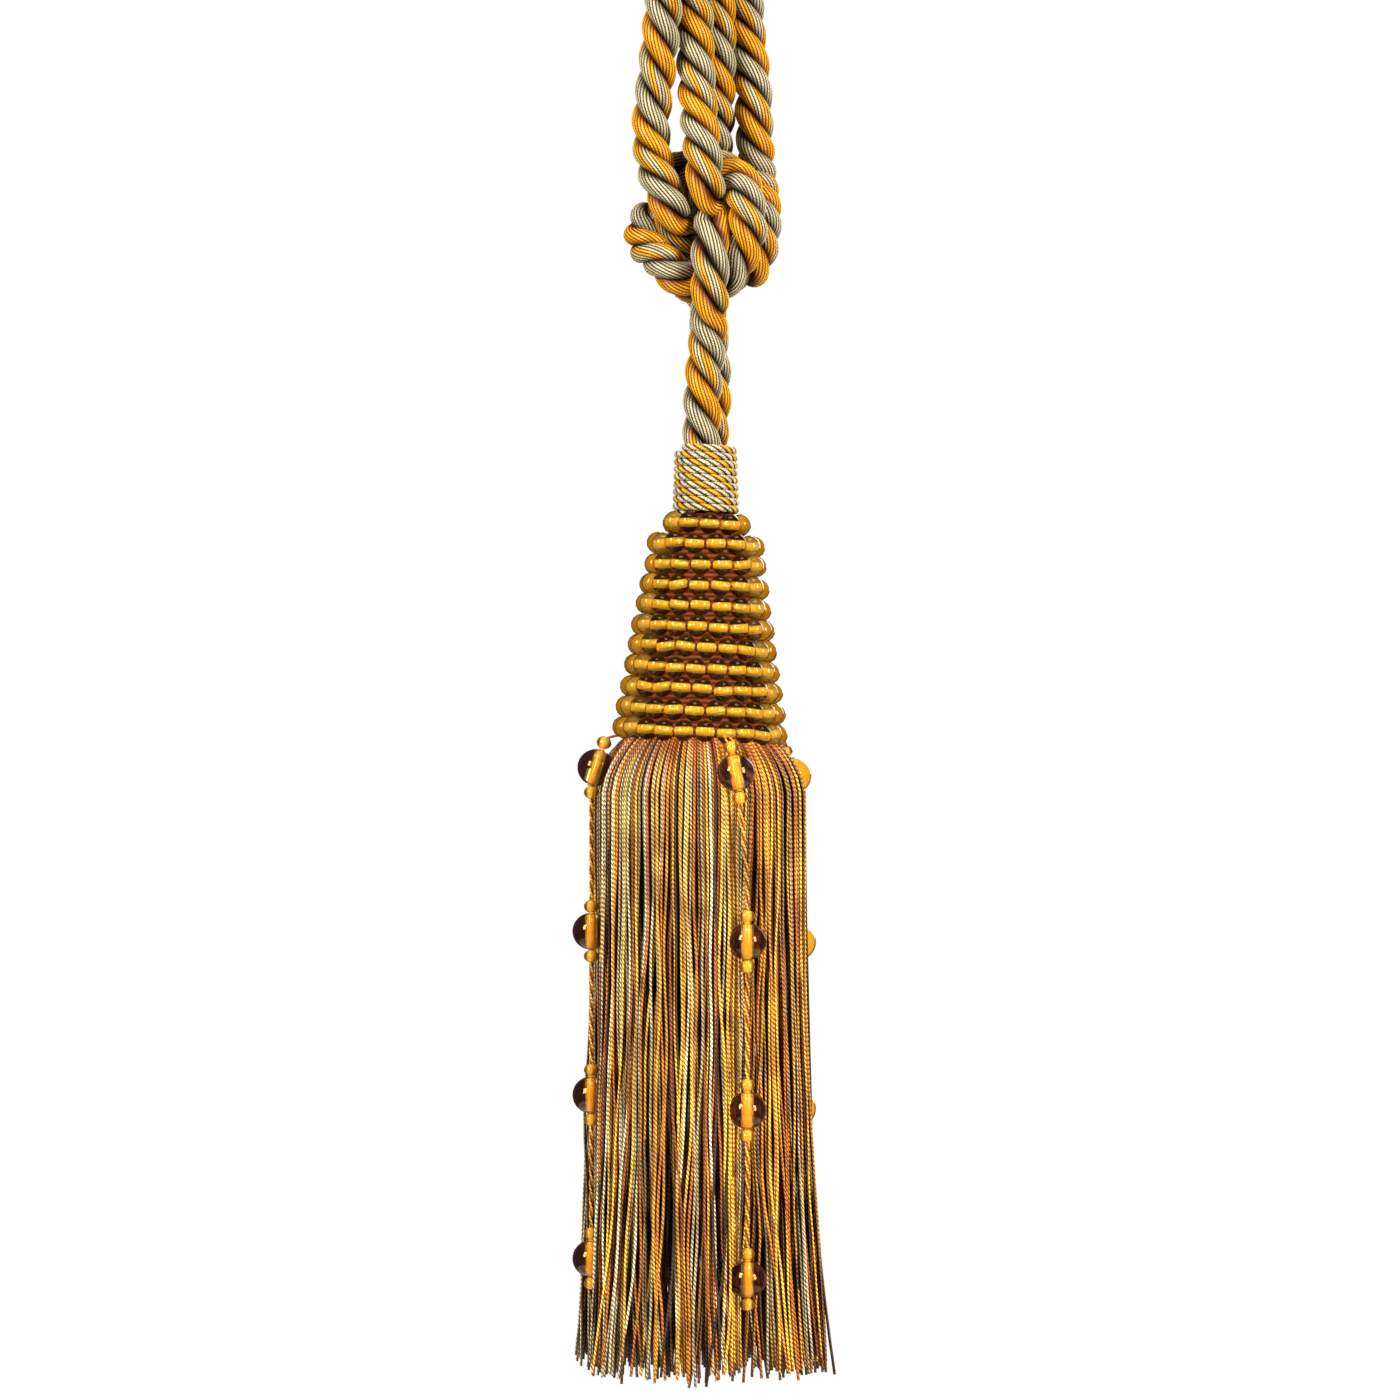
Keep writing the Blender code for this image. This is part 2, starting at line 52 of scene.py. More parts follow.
SENSOR_WIDTH = 36.0
SURROUND_LIGHT = 0.08
STUDIO_LIGHTS = [
    # (name, place, width, height, watts), each aimed at the middle of the tassel
    ("key_light", (-1.05, -1.05, 0.45), 0.50, 0.80, 42.0),
    ("fill_light", (1.10, -1.00, 0.15), 0.45, 0.80, 37.0),
    ("top_light", (0.10, -0.20, 1.10), 0.60, 0.60, 8.0),
    ("back_light", (0.45, 1.10, 0.20), 0.80, 0.80, 9.0),
]
TABLE_TOP_Z = -0.70
TABLE_RADIUS = 0.6
TABLE_THICKNESS = 0.02
TABLE_EDGE = 0.003


def linear(hex_colour):
    """An sRGB hex colour as linear red, green, blue and alpha."""
    channels = [int(hex_colour[start : start + 2], 16) / 255 for start in (1, 3, 5)]
    return (*(c / 12.92 if c <= 0.04045 else ((c + 0.055) / 1.055) ** 2.4 for c in channels), 1.0)


def set_node(node, settings):
    """Sets a node: its properties, its inputs' values, and the outputs that its inputs are linked from.

    A node given in place of an output stands for its first one.
    """
    for name, value in settings.items():
        if isinstance(value, bpy.types.Node):
            value = value.outputs[0]
        if isinstance(value, bpy.types.NodeSocket):
            node.id_data.links.new(value, node.inputs[name])
        elif isinstance(name, str) and hasattr(node, name):
            setattr(node, name, value)
        else:
            node.inputs[name].default_value = value
    return node


def add_node(tree, kind, settings):
    """A new node of that kind, with its settings and links."""
    return set_node(tree.nodes.new("ShaderNode" + kind), settings)


def new_material(name, settings):
    """A Principled material with those values on the shader's sockets, what adds a node to it, its shader."""
    material = bpy.data.materials.new(name)
    material.use_nodes = True
    shader = set_node(material.node_tree.nodes["Principled BSDF"], settings)
    return material, functools.partial(add_node, material.node_tree), shader


def round_edges(piece, width, segments):
    """Rounds the sharp edges of the piece that is being made."""
    bpy.ops.object.modifier_add(type="BEVEL")
    piece.modifiers["Bevel"].width = width
    piece.modifiers["Bevel"].segments = segments
    bpy.ops.object.modifier_apply(modifier="Bevel")


camera_data = bpy.data.cameras.new("camera")
camera_data.sensor_width = SENSOR_WIDTH
camera_data.lens = SENSOR_WIDTH * VIEW_DISTANCE / VIEW_WIDTH
camera = bpy.data.objects.new("camera", camera_data)
camera.location = (VIEW_CENTRE[0], -VIEW_DISTANCE, VIEW_CENTRE[1])
camera.rotation_euler = (math.pi / 2, 0, 0)
bpy.context.scene.collection.objects.link(camera)
bpy.context.scene.camera = camera
bpy.context.scene.view_settings.view_transform = "Standard"

surround = bpy.data.worlds.new("white_surround")
surround.use_nodes = True
bpy.context.scene.world = surround
seen = add_node(surround.node_tree, "LightPath", {})
strength = add_node(
    surround.node_tree, "MapRange", {"Value": seen.outputs["Is Camera Ray"], "To Min": SURROUND_LIGHT}
)
set_node(surround.node_tree.nodes["Background"], {"Color": (1, 1, 1, 1), "Strength": strength})

for light_name, place, light_width, light_height, watts in STUDIO_LIGHTS:
    lamp_data = bpy.data.lights.new(light_name, "AREA")
    lamp_data.shape = "RECTANGLE"
    lamp_data.size = light_width
    lamp_data.size_y = light_height
    lamp_data.energy = watts
    lamp = bpy.data.objects.new(light_name, lamp_data)
    lamp.location = place
    aim = np.array([VIEW_CENTRE[0], 0, VIEW_CENTRE[1]]) - np.array(place)
    across = math.hypot(aim[0], aim[1])
    lamp.rotation_euler = (math.pi / 2 + math.atan2(aim[2], across), 0, math.atan2(-aim[0], aim[1]))
    bpy.context.scene.collection.objects.link(lamp)

bpy.ops.object.select_all(action="DESELECT")
bpy.ops.mesh.primitive_cylinder_add(
    vertices=96, radius=TABLE_RADIUS, depth=TABLE_THICKNESS, location=(0, 0, TABLE_TOP_Z - TABLE_THICKNESS / 2)
)
table_top = bpy.context.object
table_top.name = "table_top"
round_edges(table_top, TABLE_EDGE, 1)
# Rolled matt paint: even and pale, with no highlight of its own.
white_paint, _, _ = new_material("matt white paint", {"Base Color": linear("#F2F1EE"), "Roughness": 0.7})
table_top.data.materials.append(white_paint)

# The cord: one length of three-ply rope, as thick as a little finger. Each ply is a bundle of satin
# rayon yarns, one ply gold, one grey and one of both. It is doubled into two loops over the hook and
# knotted on itself, and both its ends go down into the collar.
CORD_ENVELOPE = 0.0098
CORD_DIAMETER = 0.0091
CORD_PITCH = 0.0235
CORD_STEP = 0.0024
FINE_STEP = 0.0007
CURVE_POINTS = 12
LAY_EASE = 0.012
CORD_CLEARANCE = 0.00045
PRESS_ROUNDS = 400
PRESS_REACH = 0.0135
PRESS_HOLD = (0.02, 0.004, 0.02)
PRESS_PUSH = 0.2
PRESS_EASE = 0.03
NECK_DEPTH = 0.00925
GRIP_DEPTH = 0.0056
GRIP_START = -0.1160
COLLAR_TOP = -0.1272
COLLAR_BOTTOM = -0.1446
PLY_SHARE = 1 / (1 + 2 / math.sqrt(3))
PLY_SWELL = 1.02
YARNS_A_PLY = 16
YARN_RIDGE = 0.10
YARN_COUNTER_TWIST = 0.5
FILAMENTS_A_MM = 1.7
SMOOTH = {"interpolation_type": "SMOOTHSTEP"}
CORD_ROUTE = {
    "front neck strand, going up out of the collar": [
        (-0.0005, -0.0045, -0.1440),
        (-0.0008, -0.0045, -0.1270),
        (-0.0006, -0.0046, -0.1145),
        (0.0002, -0.0047, -0.1060),
        (0.0010, -0.0054, -0.0980),
        (0.0011, -0.0083, -0.0920),
        (0.0012, -0.0118, -0.0866),
        (0.0013, -0.0124, -0.0806),
    ],
    "turn in and out of the middle of the knot": [
        (0.0015, -0.0092, -0.0762),
        (0.0015, -0.0040, -0.0738),
        (0.0013, -0.0020, -0.0706),
        (0.0010, -0.0040, -0.0674),
        (0.0006, -0.0090, -0.0652),
    ],
    "front middle strand": [
        (0.0000, -0.0118, -0.0606),
        (-0.0009, -0.0098, -0.0532),
        (-0.0016, -0.0072, -0.0458),
        (-0.0022, -0.0049, -0.0370),
        (-0.0026, -0.0041, -0.0215),
        (-0.0028, -0.0060, -0.0120),
    ],
    "inner loop, over the hook": [
        (-0.0027, -0.0088, -0.0040),
        (-0.0018, -0.0067, 0.0024),
        (0.0000, 0.0000, 0.0048),
        (0.0018, 0.0067, 0.0024),
        (0.0027, 0.0088, -0.0040),
    ],
    "back middle strand": [
        (0.0028, 0.0060, -0.0120),
        (0.0030, 0.0041, -0.0215),
        (0.0033, 0.0043, -0.0340),
        (0.0029, 0.0052, -0.0450),
        (0.0024, 0.0070, -0.0510),
    ],
    "behind the knot and out to its left": [
        (0.0012, 0.0092, -0.0570),
        (-0.0012, 0.0090, -0.0630),
        (-0.0048, 0.0084, -0.0670),
        (-0.0090, 0.0070, -0.0686),
        (-0.0124, 0.0046, -0.0690),
    ],
    "left lobe, down and under": [
        (-0.0140, 0.0015, -0.0706),
        (-0.0143, -0.0012, -0.0742),
        (-0.0129, -0.0046, -0.0782),
        (-0.0104, -0.0074, -0.0820),
        (-0.0072, -0.0068, -0.0858),
        (-0.0028, -0.0030, -0.0882),
        (0.0025, -0.0012, -0.0880),
        (0.0072, -0.0026, -0.0846),
    ],
    "right lobe, up and over": [
        (0.0089, -0.0054, -0.0790),
        (0.0091, -0.0074, -0.0730),
        (0.0088, -0.0076, -0.0675),
        (0.0079, -0.0056, -0.0620),
        (0.0048, -0.0014, -0.0588),
        (0.0000, -0.0005, -0.0580),
        (-0.0042, 0.0022, -0.0588),
    ],
    "down the back of the knot": [
        (-0.0070, 0.0086, -0.0600),
        (-0.0034, 0.0146, -0.0614),
        (0.0024, 0.0170, -0.0654),
        (0.0030, 0.0174, -0.0704),
        (0.0006, 0.0170, -0.0756),
        (0.0030, 0.0146, -0.0810),
        (0.0090, 0.0090, -0.0844),
    ],
    "right edge of the knot, going up": [
        (0.0120, 0.0058, -0.0836),
        (0.0136, 0.0042, -0.0790),
        (0.0144, 0.0036, -0.0740),
        (0.0146, 0.0046, -0.0690),
        (0.0140, 0.0080, -0.0645),
        (0.0132, 0.0086, -0.0600),
        (0.0128, 0.0058, -0.0550),
    ],
    "back right strand": [
        (0.0125, 0.0042, -0.0500),
        (0.0119, 0.0055, -0.0410),
        (0.0111, 0.0080, -0.0310),
        (0.0103, 0.0108, -0.0210),
        (0.0100, 0.0125, -0.0115),
    ],
    "outer loop, over the inner one": [
        (0.0100, 0.0145, -0.0010),
        (0.0090, 0.0125, 0.0070),
        (0.0060, 0.0078, 0.0125),
        (0.0000, 0.0000, 0.0148),
        (-0.0060, -0.0078, 0.0125),
        (-0.0090, -0.0125, 0.0070),
        (-0.0100, -0.0145, -0.0010),
    ],
    "front left strand": [
        (-0.0100, -0.0125, -0.0115),
        (-0.0105, -0.0103, -0.0210),
        (-0.0113, -0.0085, -0.0290),
        (-0.0125, -0.0063, -0.0390),
        (-0.0135, -0.0050, -0.0465),
        (-0.0134, -0.0056, -0.0530),
        (-0.0123, -0.0080, -0.0595),
    ],
    "into the middle of the knot from the left": [
        (-0.0102, -0.0098, -0.0650),
        (-0.0078, -0.0088, -0.0692),
        (-0.0058, -0.0052, -0.0730),
        (-0.0054, 0.0008, -0.0756),
        (-0.0048, 0.0065, -0.0790),
        (-0.0025, 0.0066, -0.0835),
        (0.0002, 0.0058, -0.0895),
    ],
    "back neck strand, going down into the collar": [
        (0.0008, 0.0052, -0.0950),
        (0.0012, 0.0048, -0.1030),
        (0.0020, 0.0047, -0.1120),
        (0.0010, 0.0046, -0.1270),
        (0.0008, 0.0045, -0.1440),
    ],
}
GOLD, MIXED, GREY = 0, 1, 2
PLY_CROSSINGS = [
    # (x, y, z) beside the route where a ply's crest faces the front, and which ply
    (0.0008, -0.0048, -0.1148, GOLD),
    (0.0009, -0.0070, -0.0925, GOLD),
    (0.0012, -0.0124, -0.0785, GREY),
    (0.0004, -0.0095, -0.0662, GOLD),
    (-0.0015, -0.0064, -0.0460, GOLD),
    (-0.0028, -0.0042, -0.0228, GOLD),
    (0.0028, 0.0044, -0.0338, GOLD),
    (-0.0146, -0.0030, -0.0774, GOLD),
    (-0.0046, -0.0044, -0.0874, GOLD),
    (0.0100, -0.0068, -0.0755, GOLD),
    (0.0064, -0.0028, -0.0586, GOLD),
    (0.0136, 0.0042, -0.0795, GOLD),
    (0.0146, 0.0048, -0.0680, GREY),
    (0.0129, 0.0062, -0.0560, GREY),
    (0.0125, 0.0041, -0.0490, GOLD),
    (0.0112, 0.0085, -0.0255, GOLD),
    (-0.0114, -0.0086, -0.0295, GOLD),
    (-0.0133, -0.0053, -0.0529, GOLD),
    (-0.0070, -0.0065, -0.0715, GOLD),
]


def unit(vectors):
    """The vectors, each one unit long."""
    return vectors / np.linalg.norm(vectors, axis=-1, keepdims=True)


def evenly_spaced(line, step):
    """The same line with its points about a step apart."""
    along = np.concatenate([[0], np.cumsum(np.linalg.norm(np.diff(line, axis=0), axis=1))])
    wanted = np.linspace(0, along[-1], round(along[-1] / step) + 1)
    return np.stack([np.interp(wanted, along, line[:, axis]) for axis in range(3)], axis=1)


def smooth_points(points, step):
    """Points about every step along the smooth curve (centripetal Catmull-Rom) through the given ones."""
    given = np.array(points)
    ends = np.vstack([2 * given[0] - given[1], given, 2 * given[-1] - given[-2]])
    p0, p1, p2, p3 = ends[:-3], ends[1:-2], ends[2:-1], ends[3:]
    pairs = ((p0, p1), (p1, p2), (p2, p3))
    a, b, c = (np.sqrt(np.linalg.norm(q - p, axis=1))[:, None] for p, q in pairs)
    leave = b * ((p1 - p0) / a - (p2 - p0) / (a + b) + (p2 - p1) / b)
    arrive = b * ((p2 - p1) / b - (p3 - p1) / (b + c) + (p3 - p2) / c)
    u = np.linspace(0, 1, CURVE_POINTS, endpoint=False)[None, :, None]
    pieces = (
        (2 * u**3 - 3 * u**2 + 1) * p1[:, None]
        + (u**3 - 2 * u**2 + u) * leave[:, None]
        + (3 * u**2 - 2 * u**3) * p2[:, None]
        + (u**3 - u**2) * arrive[:, None]
    )
    return evenly_spaced(np.vstack([pieces.reshape(-1, 3), given[-1:]]), step)


def pressed_apart(route):
    """The route once its passes have pressed each other aside, until the cord clears itself."""
    line = route.copy()
    distance = CORD_DIAMETER + CORD_CLEARANCE
    first, second = np.triu_indices(len(line), int(PRESS_REACH / CORD_STEP) + 1)
    for _ in range(PRESS_ROUNDS):
        line += np.array(PRESS_HOLD) * (route - line)
        line[1:-1] += PRESS_EASE * ((line[:-2] + line[2:]) / 2 - line[1:-1])
        between = line[first] - line[second]
        length = np.linalg.norm(between, axis=1)
        close = length < distance
        push = between[close] / length[close, None] * (PRESS_PUSH * (distance - length[close]))[:, None]
        np.add.at(line, first[close], push)
        np.add.at(line, second[close], -push)
    return evenly_spaced(line, CORD_STEP)


def square_to(direction, tangent):
    """The direction with its share along the tangent taken away, one unit long."""
    return unit(direction - direction @ tangent * tangent)


def carried_frames(line):
    """Tangent, normal and binormal at each point, carried along the line without any twist of their own."""
    steps = unit(np.diff(line, axis=0))
    tangents = unit(np.vstack([steps[:1], steps[:-1] + steps[1:], steps[-1:]]))
    normals = np.zeros_like(tangents)
    normals[0] = square_to(np.array([0, -1.0, 0]), tangents[0])
    for index in range(1, len(line)):
        axis = np.cross(tangents[index - 1], tangents[index])
        cosine = tangents[index - 1] @ tangents[index]
        old = normals[index - 1]
        turned_over = old * cosine + np.cross(axis, old) + axis * (axis @ old) / (1 + cosine)
        normals[index] = square_to(turned_over, tangents[index])
    return tangents, normals, np.cross(tangents, normals)


def lay_turns(line, step):
    """How many turns the plies have made at each point, left-handed, from the chosen crossings."""
    tangents, normals, binormals = carried_frames(line)
    known = []
    for x, y, z, ply in PLY_CROSSINGS:
        index = int(np.argmin(np.linalg.norm(line - np.array([x, y, z]), axis=1)))
        front = square_to(np.array([0, -1.0, 0]), tangents[index])
        angle = math.atan2(front @ binormals[index], front @ normals[index])
        known.append((index, angle / (2 * math.pi) - ply / 3))
    known.sort()
    places = [index for index, _ in known]
    turns_there = [known[0][1]]
    for (last, _), (index, turn) in zip(known, known[1:]):
        expected = turns_there[-1] - (index - last) * step / CORD_PITCH
        turns_there.append(turn + round(expected - turn))
    count = np.arange(len(line))
    turns = np.interp(count, places, turns_there)
    turns -= np.minimum(count - places[0], 0) * step / CORD_PITCH
    turns -= np.maximum(count - places[-1], 0) * step / CORD_PITCH
    width = int(LAY_EASE / step)
    weights = np.hanning(2 * width + 3)[1:-1]
    before = 2 * turns[0] - turns[width:0:-1]
    after = 2 * turns[-1] - turns[-2 : -width - 2 : -1]
    return np.convolve(np.concatenate([before, turns, after]), weights / weights.sum(), "valid")


def new_piece(name, points, corners, starts, material):
    """A smooth mesh on the body, from its points, its faces' corners in one row, and where each face starts."""
    mesh = bpy.data.meshes.new(name)
    mesh.vertices.add(len(points))
    mesh.vertices.foreach_set("co", np.asarray(points, np.float32).ravel())
    mesh.loops.add(len(corners))
    mesh.loops.foreach_set("vertex_index", np.asarray(corners, np.int32))
    mesh.polygons.add(len(starts))
    mesh.polygons.foreach_set("loop_start", np.asarray(starts, np.int32))
    mesh.update(calc_edges=True)
    mesh.shade_smooth()
    mesh.materials.append(material)
    piece = bpy.data.objects.new(name, mesh)
    bpy.context.scene.collection.objects.link(piece)
    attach(piece, "root")
    return piece


def add_attribute(piece, name, values):
    """Gives each point of the piece a number, or a direction, that its material reads."""
    values = np.asarray(values, np.float32)
    kind, field = ("FLOAT", "value") if values.ndim == 1 else ("FLOAT_VECTOR", "vector")
    piece.data.attributes.new(name, kind, "POINT").data.foreach_set(field, values.ravel())


def tubes_piece(name, paths, first, turned, radius, sides, ridge, material):
    """Round tubes along paths, in one piece, with a UV map that counts ridges round and millimetres along.

    paths and first are (tubes, points, 3); first is where corner 0 points, and turned how many turns on
    from there it has gone. Every second corner stands back by the ridge's share of the radius. The
    attribute outward is 1 along the side that first points to, and -1 along the far side.
    """
    count, steps = paths.shape[:2]
    turned = np.broadcast_to(turned, (count, steps))
    along = unit(np.gradient(paths, axis=1))
    across = unit(first - np.sum(first * along, axis=-1, keepdims=True) * along)
    sideways = np.cross(along, across)
    number = np.arange(sides)
    angle = 2 * np.pi * (number / sides + turned[..., None])
    reach = radius * (1 - ridge * (number % 2))
    points = (
        paths[:, :, None]
        + (reach * np.cos(angle))[..., None] * across[:, :, None]
        + (reach * np.sin(angle))[..., None] * sideways[:, :, None]
    )
    index = np.arange(count * steps * sides).reshape(count, steps, sides)
    near, far = index[:, :-1], index[:, 1:]
    quads = np.stack([near, np.roll(near, -1, 2), np.roll(far, -1, 2), far], axis=-1).reshape(-1, 4)
    ends = np.concatenate([index[:, 0, ::-1], index[:, -1]])
    corners = np.concatenate([quads.ravel(), ends.ravel()])
    starts = np.concatenate([4 * np.arange(len(quads)), quads.size + sides * np.arange(len(ends))])
    piece = new_piece(name, points.reshape(-1, 3), corners, starts, material)
    distance = np.zeros((count, steps))
    distance[:, 1:] = 1000 * np.cumsum(np.linalg.norm(np.diff(paths, axis=1), axis=-1), axis=1)
    unit_round = 0.5 if ridge else 1 / sides
    left = np.broadcast_to(unit_round * number, (count, steps - 1, sides))
    upper = np.broadcast_to(distance[:, :-1, None], left.shape)
    lower = np.broadcast_to(distance[:, 1:, None], left.shape)
    right = left + unit_round
    quad_uv = np.stack([left, upper, right, upper, right, lower, left, lower], axis=-1).reshape(-1, 2)
    end_uv = np.zeros((ends.size, 2))
    layer = piece.data.uv_layers.new(name="yarn")
    layer.data.foreach_set("uv", np.concatenate([quad_uv, end_uv]).astype(np.float32).ravel())
    add_attribute(piece, "outward", np.cos(angle).ravel())
    return piece


def flattened_in_collar(points):
    """The points with the pair of neck strands pressed flat, front to back, where the collar grips them."""
    grip = np.clip((GRIP_START - points[..., 2]) / (GRIP_START - COLLAR_TOP), 0, 1)
    pressed = points.copy()
    pressed[..., 1] *= 1 - grip * (1 - GRIP_DEPTH / NECK_DEPTH)
    return pressed


def satin_yarn(name, crest_highlight, groove_shade, second_crest_highlight=None, second_groove_shade=None, gap_shade_specks=0.0):
    """Rayon yarns laid side by side, with painted light: a painted highlight along the middle of each yarn,
    painted shade between yarns and where plies meet.

    The UV map counts yarns round the ply and millimetres along it. Rayon filament is glossy. Each yarn is
    twisted, so its filaments cross it in fine slanting lines: about 0.25 mm apart on the real yarn, and
    drawn 0.6 mm apart so that they show. With a second pair of colours, about half the yarns take it.
    Specks are painted shade in the gaps between the filaments of a fine cord, as a share of its tone.
    """
    material, add, shader = new_material(name, {"Roughness": 0.42, "Specular IOR Level": 0.18})
    uv = add("UVMap", {"uv_map": "yarn"})
    parts = add("SeparateXYZ", {"Vector": uv})
    shifted = add("Math", {"operation": "ADD", 0: parts.outputs["X"], 1: 0.5})
    yarn = add("Math", {"operation": "FLOOR", 0: shifted})
    within = add("Math", {"operation": "FRACT", 0: shifted})
    centred = add("Math", {"operation": "SUBTRACT", 0: within, 1: 0.5})
    side = add("Math", {"operation": "ABSOLUTE", 0: centred})
    # Painted highlight along the middle of each yarn, falling to painted shade at its sides.
    crown_highlight = add(
        "MapRange", {**SMOOTH, "Value": side, "From Min": 0.12, "From Max": 0.42, "To Min": 1.0, "To Max": 0.0}
    )
    # Painted light and shade: each ply is bright where it stands out of the cord and painted dark where it
    # turns in to the others.
    outward = add("Attribute", {"attribute_name": "outward"})
    lit = add("MapRange", {**SMOOTH, "Value": outward.outputs["Fac"], "From Min": -0.20, "From Max": 0.92})
    light = add("Math", {"operation": "MULTIPLY", 0: crown_highlight, 1: lit})
    # Painted shade in the valleys between plies, multiplied into the tone.
    valley = add("MapRange", {"Value": lit, "To Min": 0.40})
    # The slanting filaments, and streaks along the yarn where it was dyed unevenly.
    slant = add("Math", {"operation": "MULTIPLY", 0: parts.outputs["Y"], 1: FILAMENTS_A_MM})
    across = add("Math", {"operation": "ADD", 0: slant, 1: parts.outputs["X"]})
    hatch = add("Math", {"operation": "PINGPONG", 0: across, 1: 0.5})
    stretch = add("Mapping", {"Vector": uv, "Scale": (1.6, 0.45, 1.0)})
    streaks = add("TexNoise", {"Vector": stretch, "Scale": 1.0, "Detail": 3.0, "Roughness": 0.65})
    height = add("Math", {"operation": "ADD", 0: hatch, 1: streaks.outputs["Fac"]})
    tone = add(
        "MapRange", {"Value": height, "From Min": 0.35, "From Max": 1.15, "To Min": 0.45, "To Max": 1.20}
    )
    dye = add("TexWhiteNoise", {"noise_dimensions": "1D", "W": yarn})
    yarn_tone = add("MapRange", {"Value": dye.outputs["Value"], "To Min": 0.72, "To Max": 1.12})
    where = add("TexCoord", {})
    # Painted shade: fine dark specks for the gaps between filaments.
    fine = add("TexNoise", {"Vector": where.outputs["Object"], "Scale": 2200.0, "Detail": 2.0})
    gap_shade_speck = add(
        "MapRange", {"Value": fine.outputs["Fac"], "From Min": 0.38, "From Max": 0.55, "To Min": 1.0 - gap_shade_specks}
    )
    for factor in (yarn_tone, valley, gap_shade_speck):
        tone = add("Math", {"operation": "MULTIPLY", 0: tone, 1: factor})
    # Each yarn's colour runs from a painted shade colour to a painted highlight colour.
    pair = [
        add("Mix", {"data_type": "RGBA", 0: light, 6: linear(dark), 7: linear(bright)})
        for bright, dark in ((crest_highlight, groove_shade), (second_crest_highlight or crest_highlight, second_groove_shade or groove_shade))
    ]
    # Yarns of the second colour lie in groups of two or three.
    grouped = add("Math", {"operation": "MULTIPLY", 0: yarn, 1: 0.1875})
    group = add("Math", {"operation": "FRACT", 0: grouped})
    second = add("Math", {"operation": "GREATER_THAN", 0: group, 1: 0.48})
    blended = add("Mix", {"data_type": "RGBA", 0: second, 6: pair[0].outputs[2], 7: pair[1].outputs[2]})
    coloured = add("VectorMath", {"operation": "SCALE", 0: blended.outputs[2], "Scale": tone})
    bump = add("Bump", {"Height": height, "Strength": 0.5, "Distance": 0.00015})
    set_node(shader, {"Base Color": coloured, "Normal": bump})
    return material


route_line = pressed_apart(smooth_points([point for run in CORD_ROUTE.values() for point in run], CORD_STEP))
cord_line = smooth_points(route_line, FINE_STEP)
cord_turns = lay_turns(cord_line, FINE_STEP)
_, cord_normals, cord_binormals = carried_frames(cord_line)
ply_radius = CORD_ENVELOPE / 2 * PLY_SHARE * PLY_SWELL
ply_offset = CORD_ENVELOPE / 2 - ply_radius
# Each pair of colours is a painted highlight colour and a painted shade colour.
CORD_YARNS = {
    GOLD: ("cord_gold_ply", satin_yarn("gold satin rayon yarn", "#FAB212", "#823002")),
    MIXED: (
        "cord_mixed_ply",
        satin_yarn("gold and grey satin rayon yarn", "#F6B01C", "#722802", "#D6C496", "#3E2A0C"),
    ),
    GREY: ("cord_grey_ply", satin_yarn("grey satin rayon yarn", "#D2C298", "#36260E")),
}
for ply, (ply_name, ply_yarn) in CORD_YARNS.items():
    ply_turns = cord_turns + ply / 3
    angle = 2 * np.pi * ply_turns[:, None]
    outwards = np.cos(angle) * cord_normals + np.sin(angle) * cord_binormals
    ply_piece = tubes_piece(
        ply_name,
        flattened_in_collar(cord_line + ply_offset * outwards)[None],
        outwards[None],
        (-(1 + YARN_COUNTER_TWIST) * ply_turns)[None],
        ply_radius,
        2 * YARNS_A_PLY,
        YARN_RIDGE,
        ply_yarn,
    )
    if ply == GOLD:
        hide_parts("cord")

# The collar: a fine three-ply cord, two plies off-white and one gold, wound about nine times round the
# two neck strands from the top down, each turn hard against the last, with its ends tucked in.
COLLAR_CORD = 0.00195
COLLAR_CENTRE_X = 0.0002
COLLAR_TOP_RADIUS = 0.0079
COLLAR_BOTTOM_RADIUS = 0.0085
COLLAR_PITCH = 0.00185
COLLAR_START_TURNS = -0.175
COLLAR_TWISTS_A_TURN = 6.59
COLLAR_STEPS_A_TURN = 90
COLLAR_TUCK = 0.07
COLLAR_TUCK_DEPTH = 0.0012
COLLAR_SINK = 0.0013
FINE_PLY_SWELL = 1.12
FINE_PLY_SIDES = 10


def outwards_at(angle):
    """The level direction that faces outwards at an angle from the front, turning towards +X."""
    return np.stack([np.sin(angle), -np.cos(angle), 0 * angle], axis=-1)


collar_turns = (COLLAR_TOP - COLLAR_BOTTOM - COLLAR_CORD + COLLAR_SINK) / COLLAR_PITCH
collar_share = np.linspace(0, 1, int(collar_turns * COLLAR_STEPS_A_TURN))
collar_wound = collar_share * collar_turns
collar_angle = 2 * np.pi * (collar_wound + COLLAR_START_TURNS)
from_end = np.minimum(collar_wound, collar_turns - collar_wound)
tucked = COLLAR_TUCK_DEPTH * (1 - np.clip(from_end / COLLAR_TUCK, 0, 1)) ** 2
collar_reach = COLLAR_TOP_RADIUS + (COLLAR_BOTTOM_RADIUS - COLLAR_TOP_RADIUS) * collar_share
collar_reach = collar_reach - COLLAR_CORD / 2 - tucked
collar_outwards = outwards_at(collar_angle)
collar_line = collar_reach[:, None] * collar_outwards
collar_line[:, 0] += COLLAR_CENTRE_X
collar_line[:, 2] = COLLAR_TOP - COLLAR_CORD / 2 - COLLAR_PITCH * collar_wound
collar_along = unit(np.gradient(collar_line, axis=0))
collar_binormals = np.cross(collar_along, collar_outwards)
fine_ply_radius = COLLAR_CORD / 2 * PLY_SHARE * FINE_PLY_SWELL
fine_ply_offset = COLLAR_CORD / 2 - fine_ply_radius
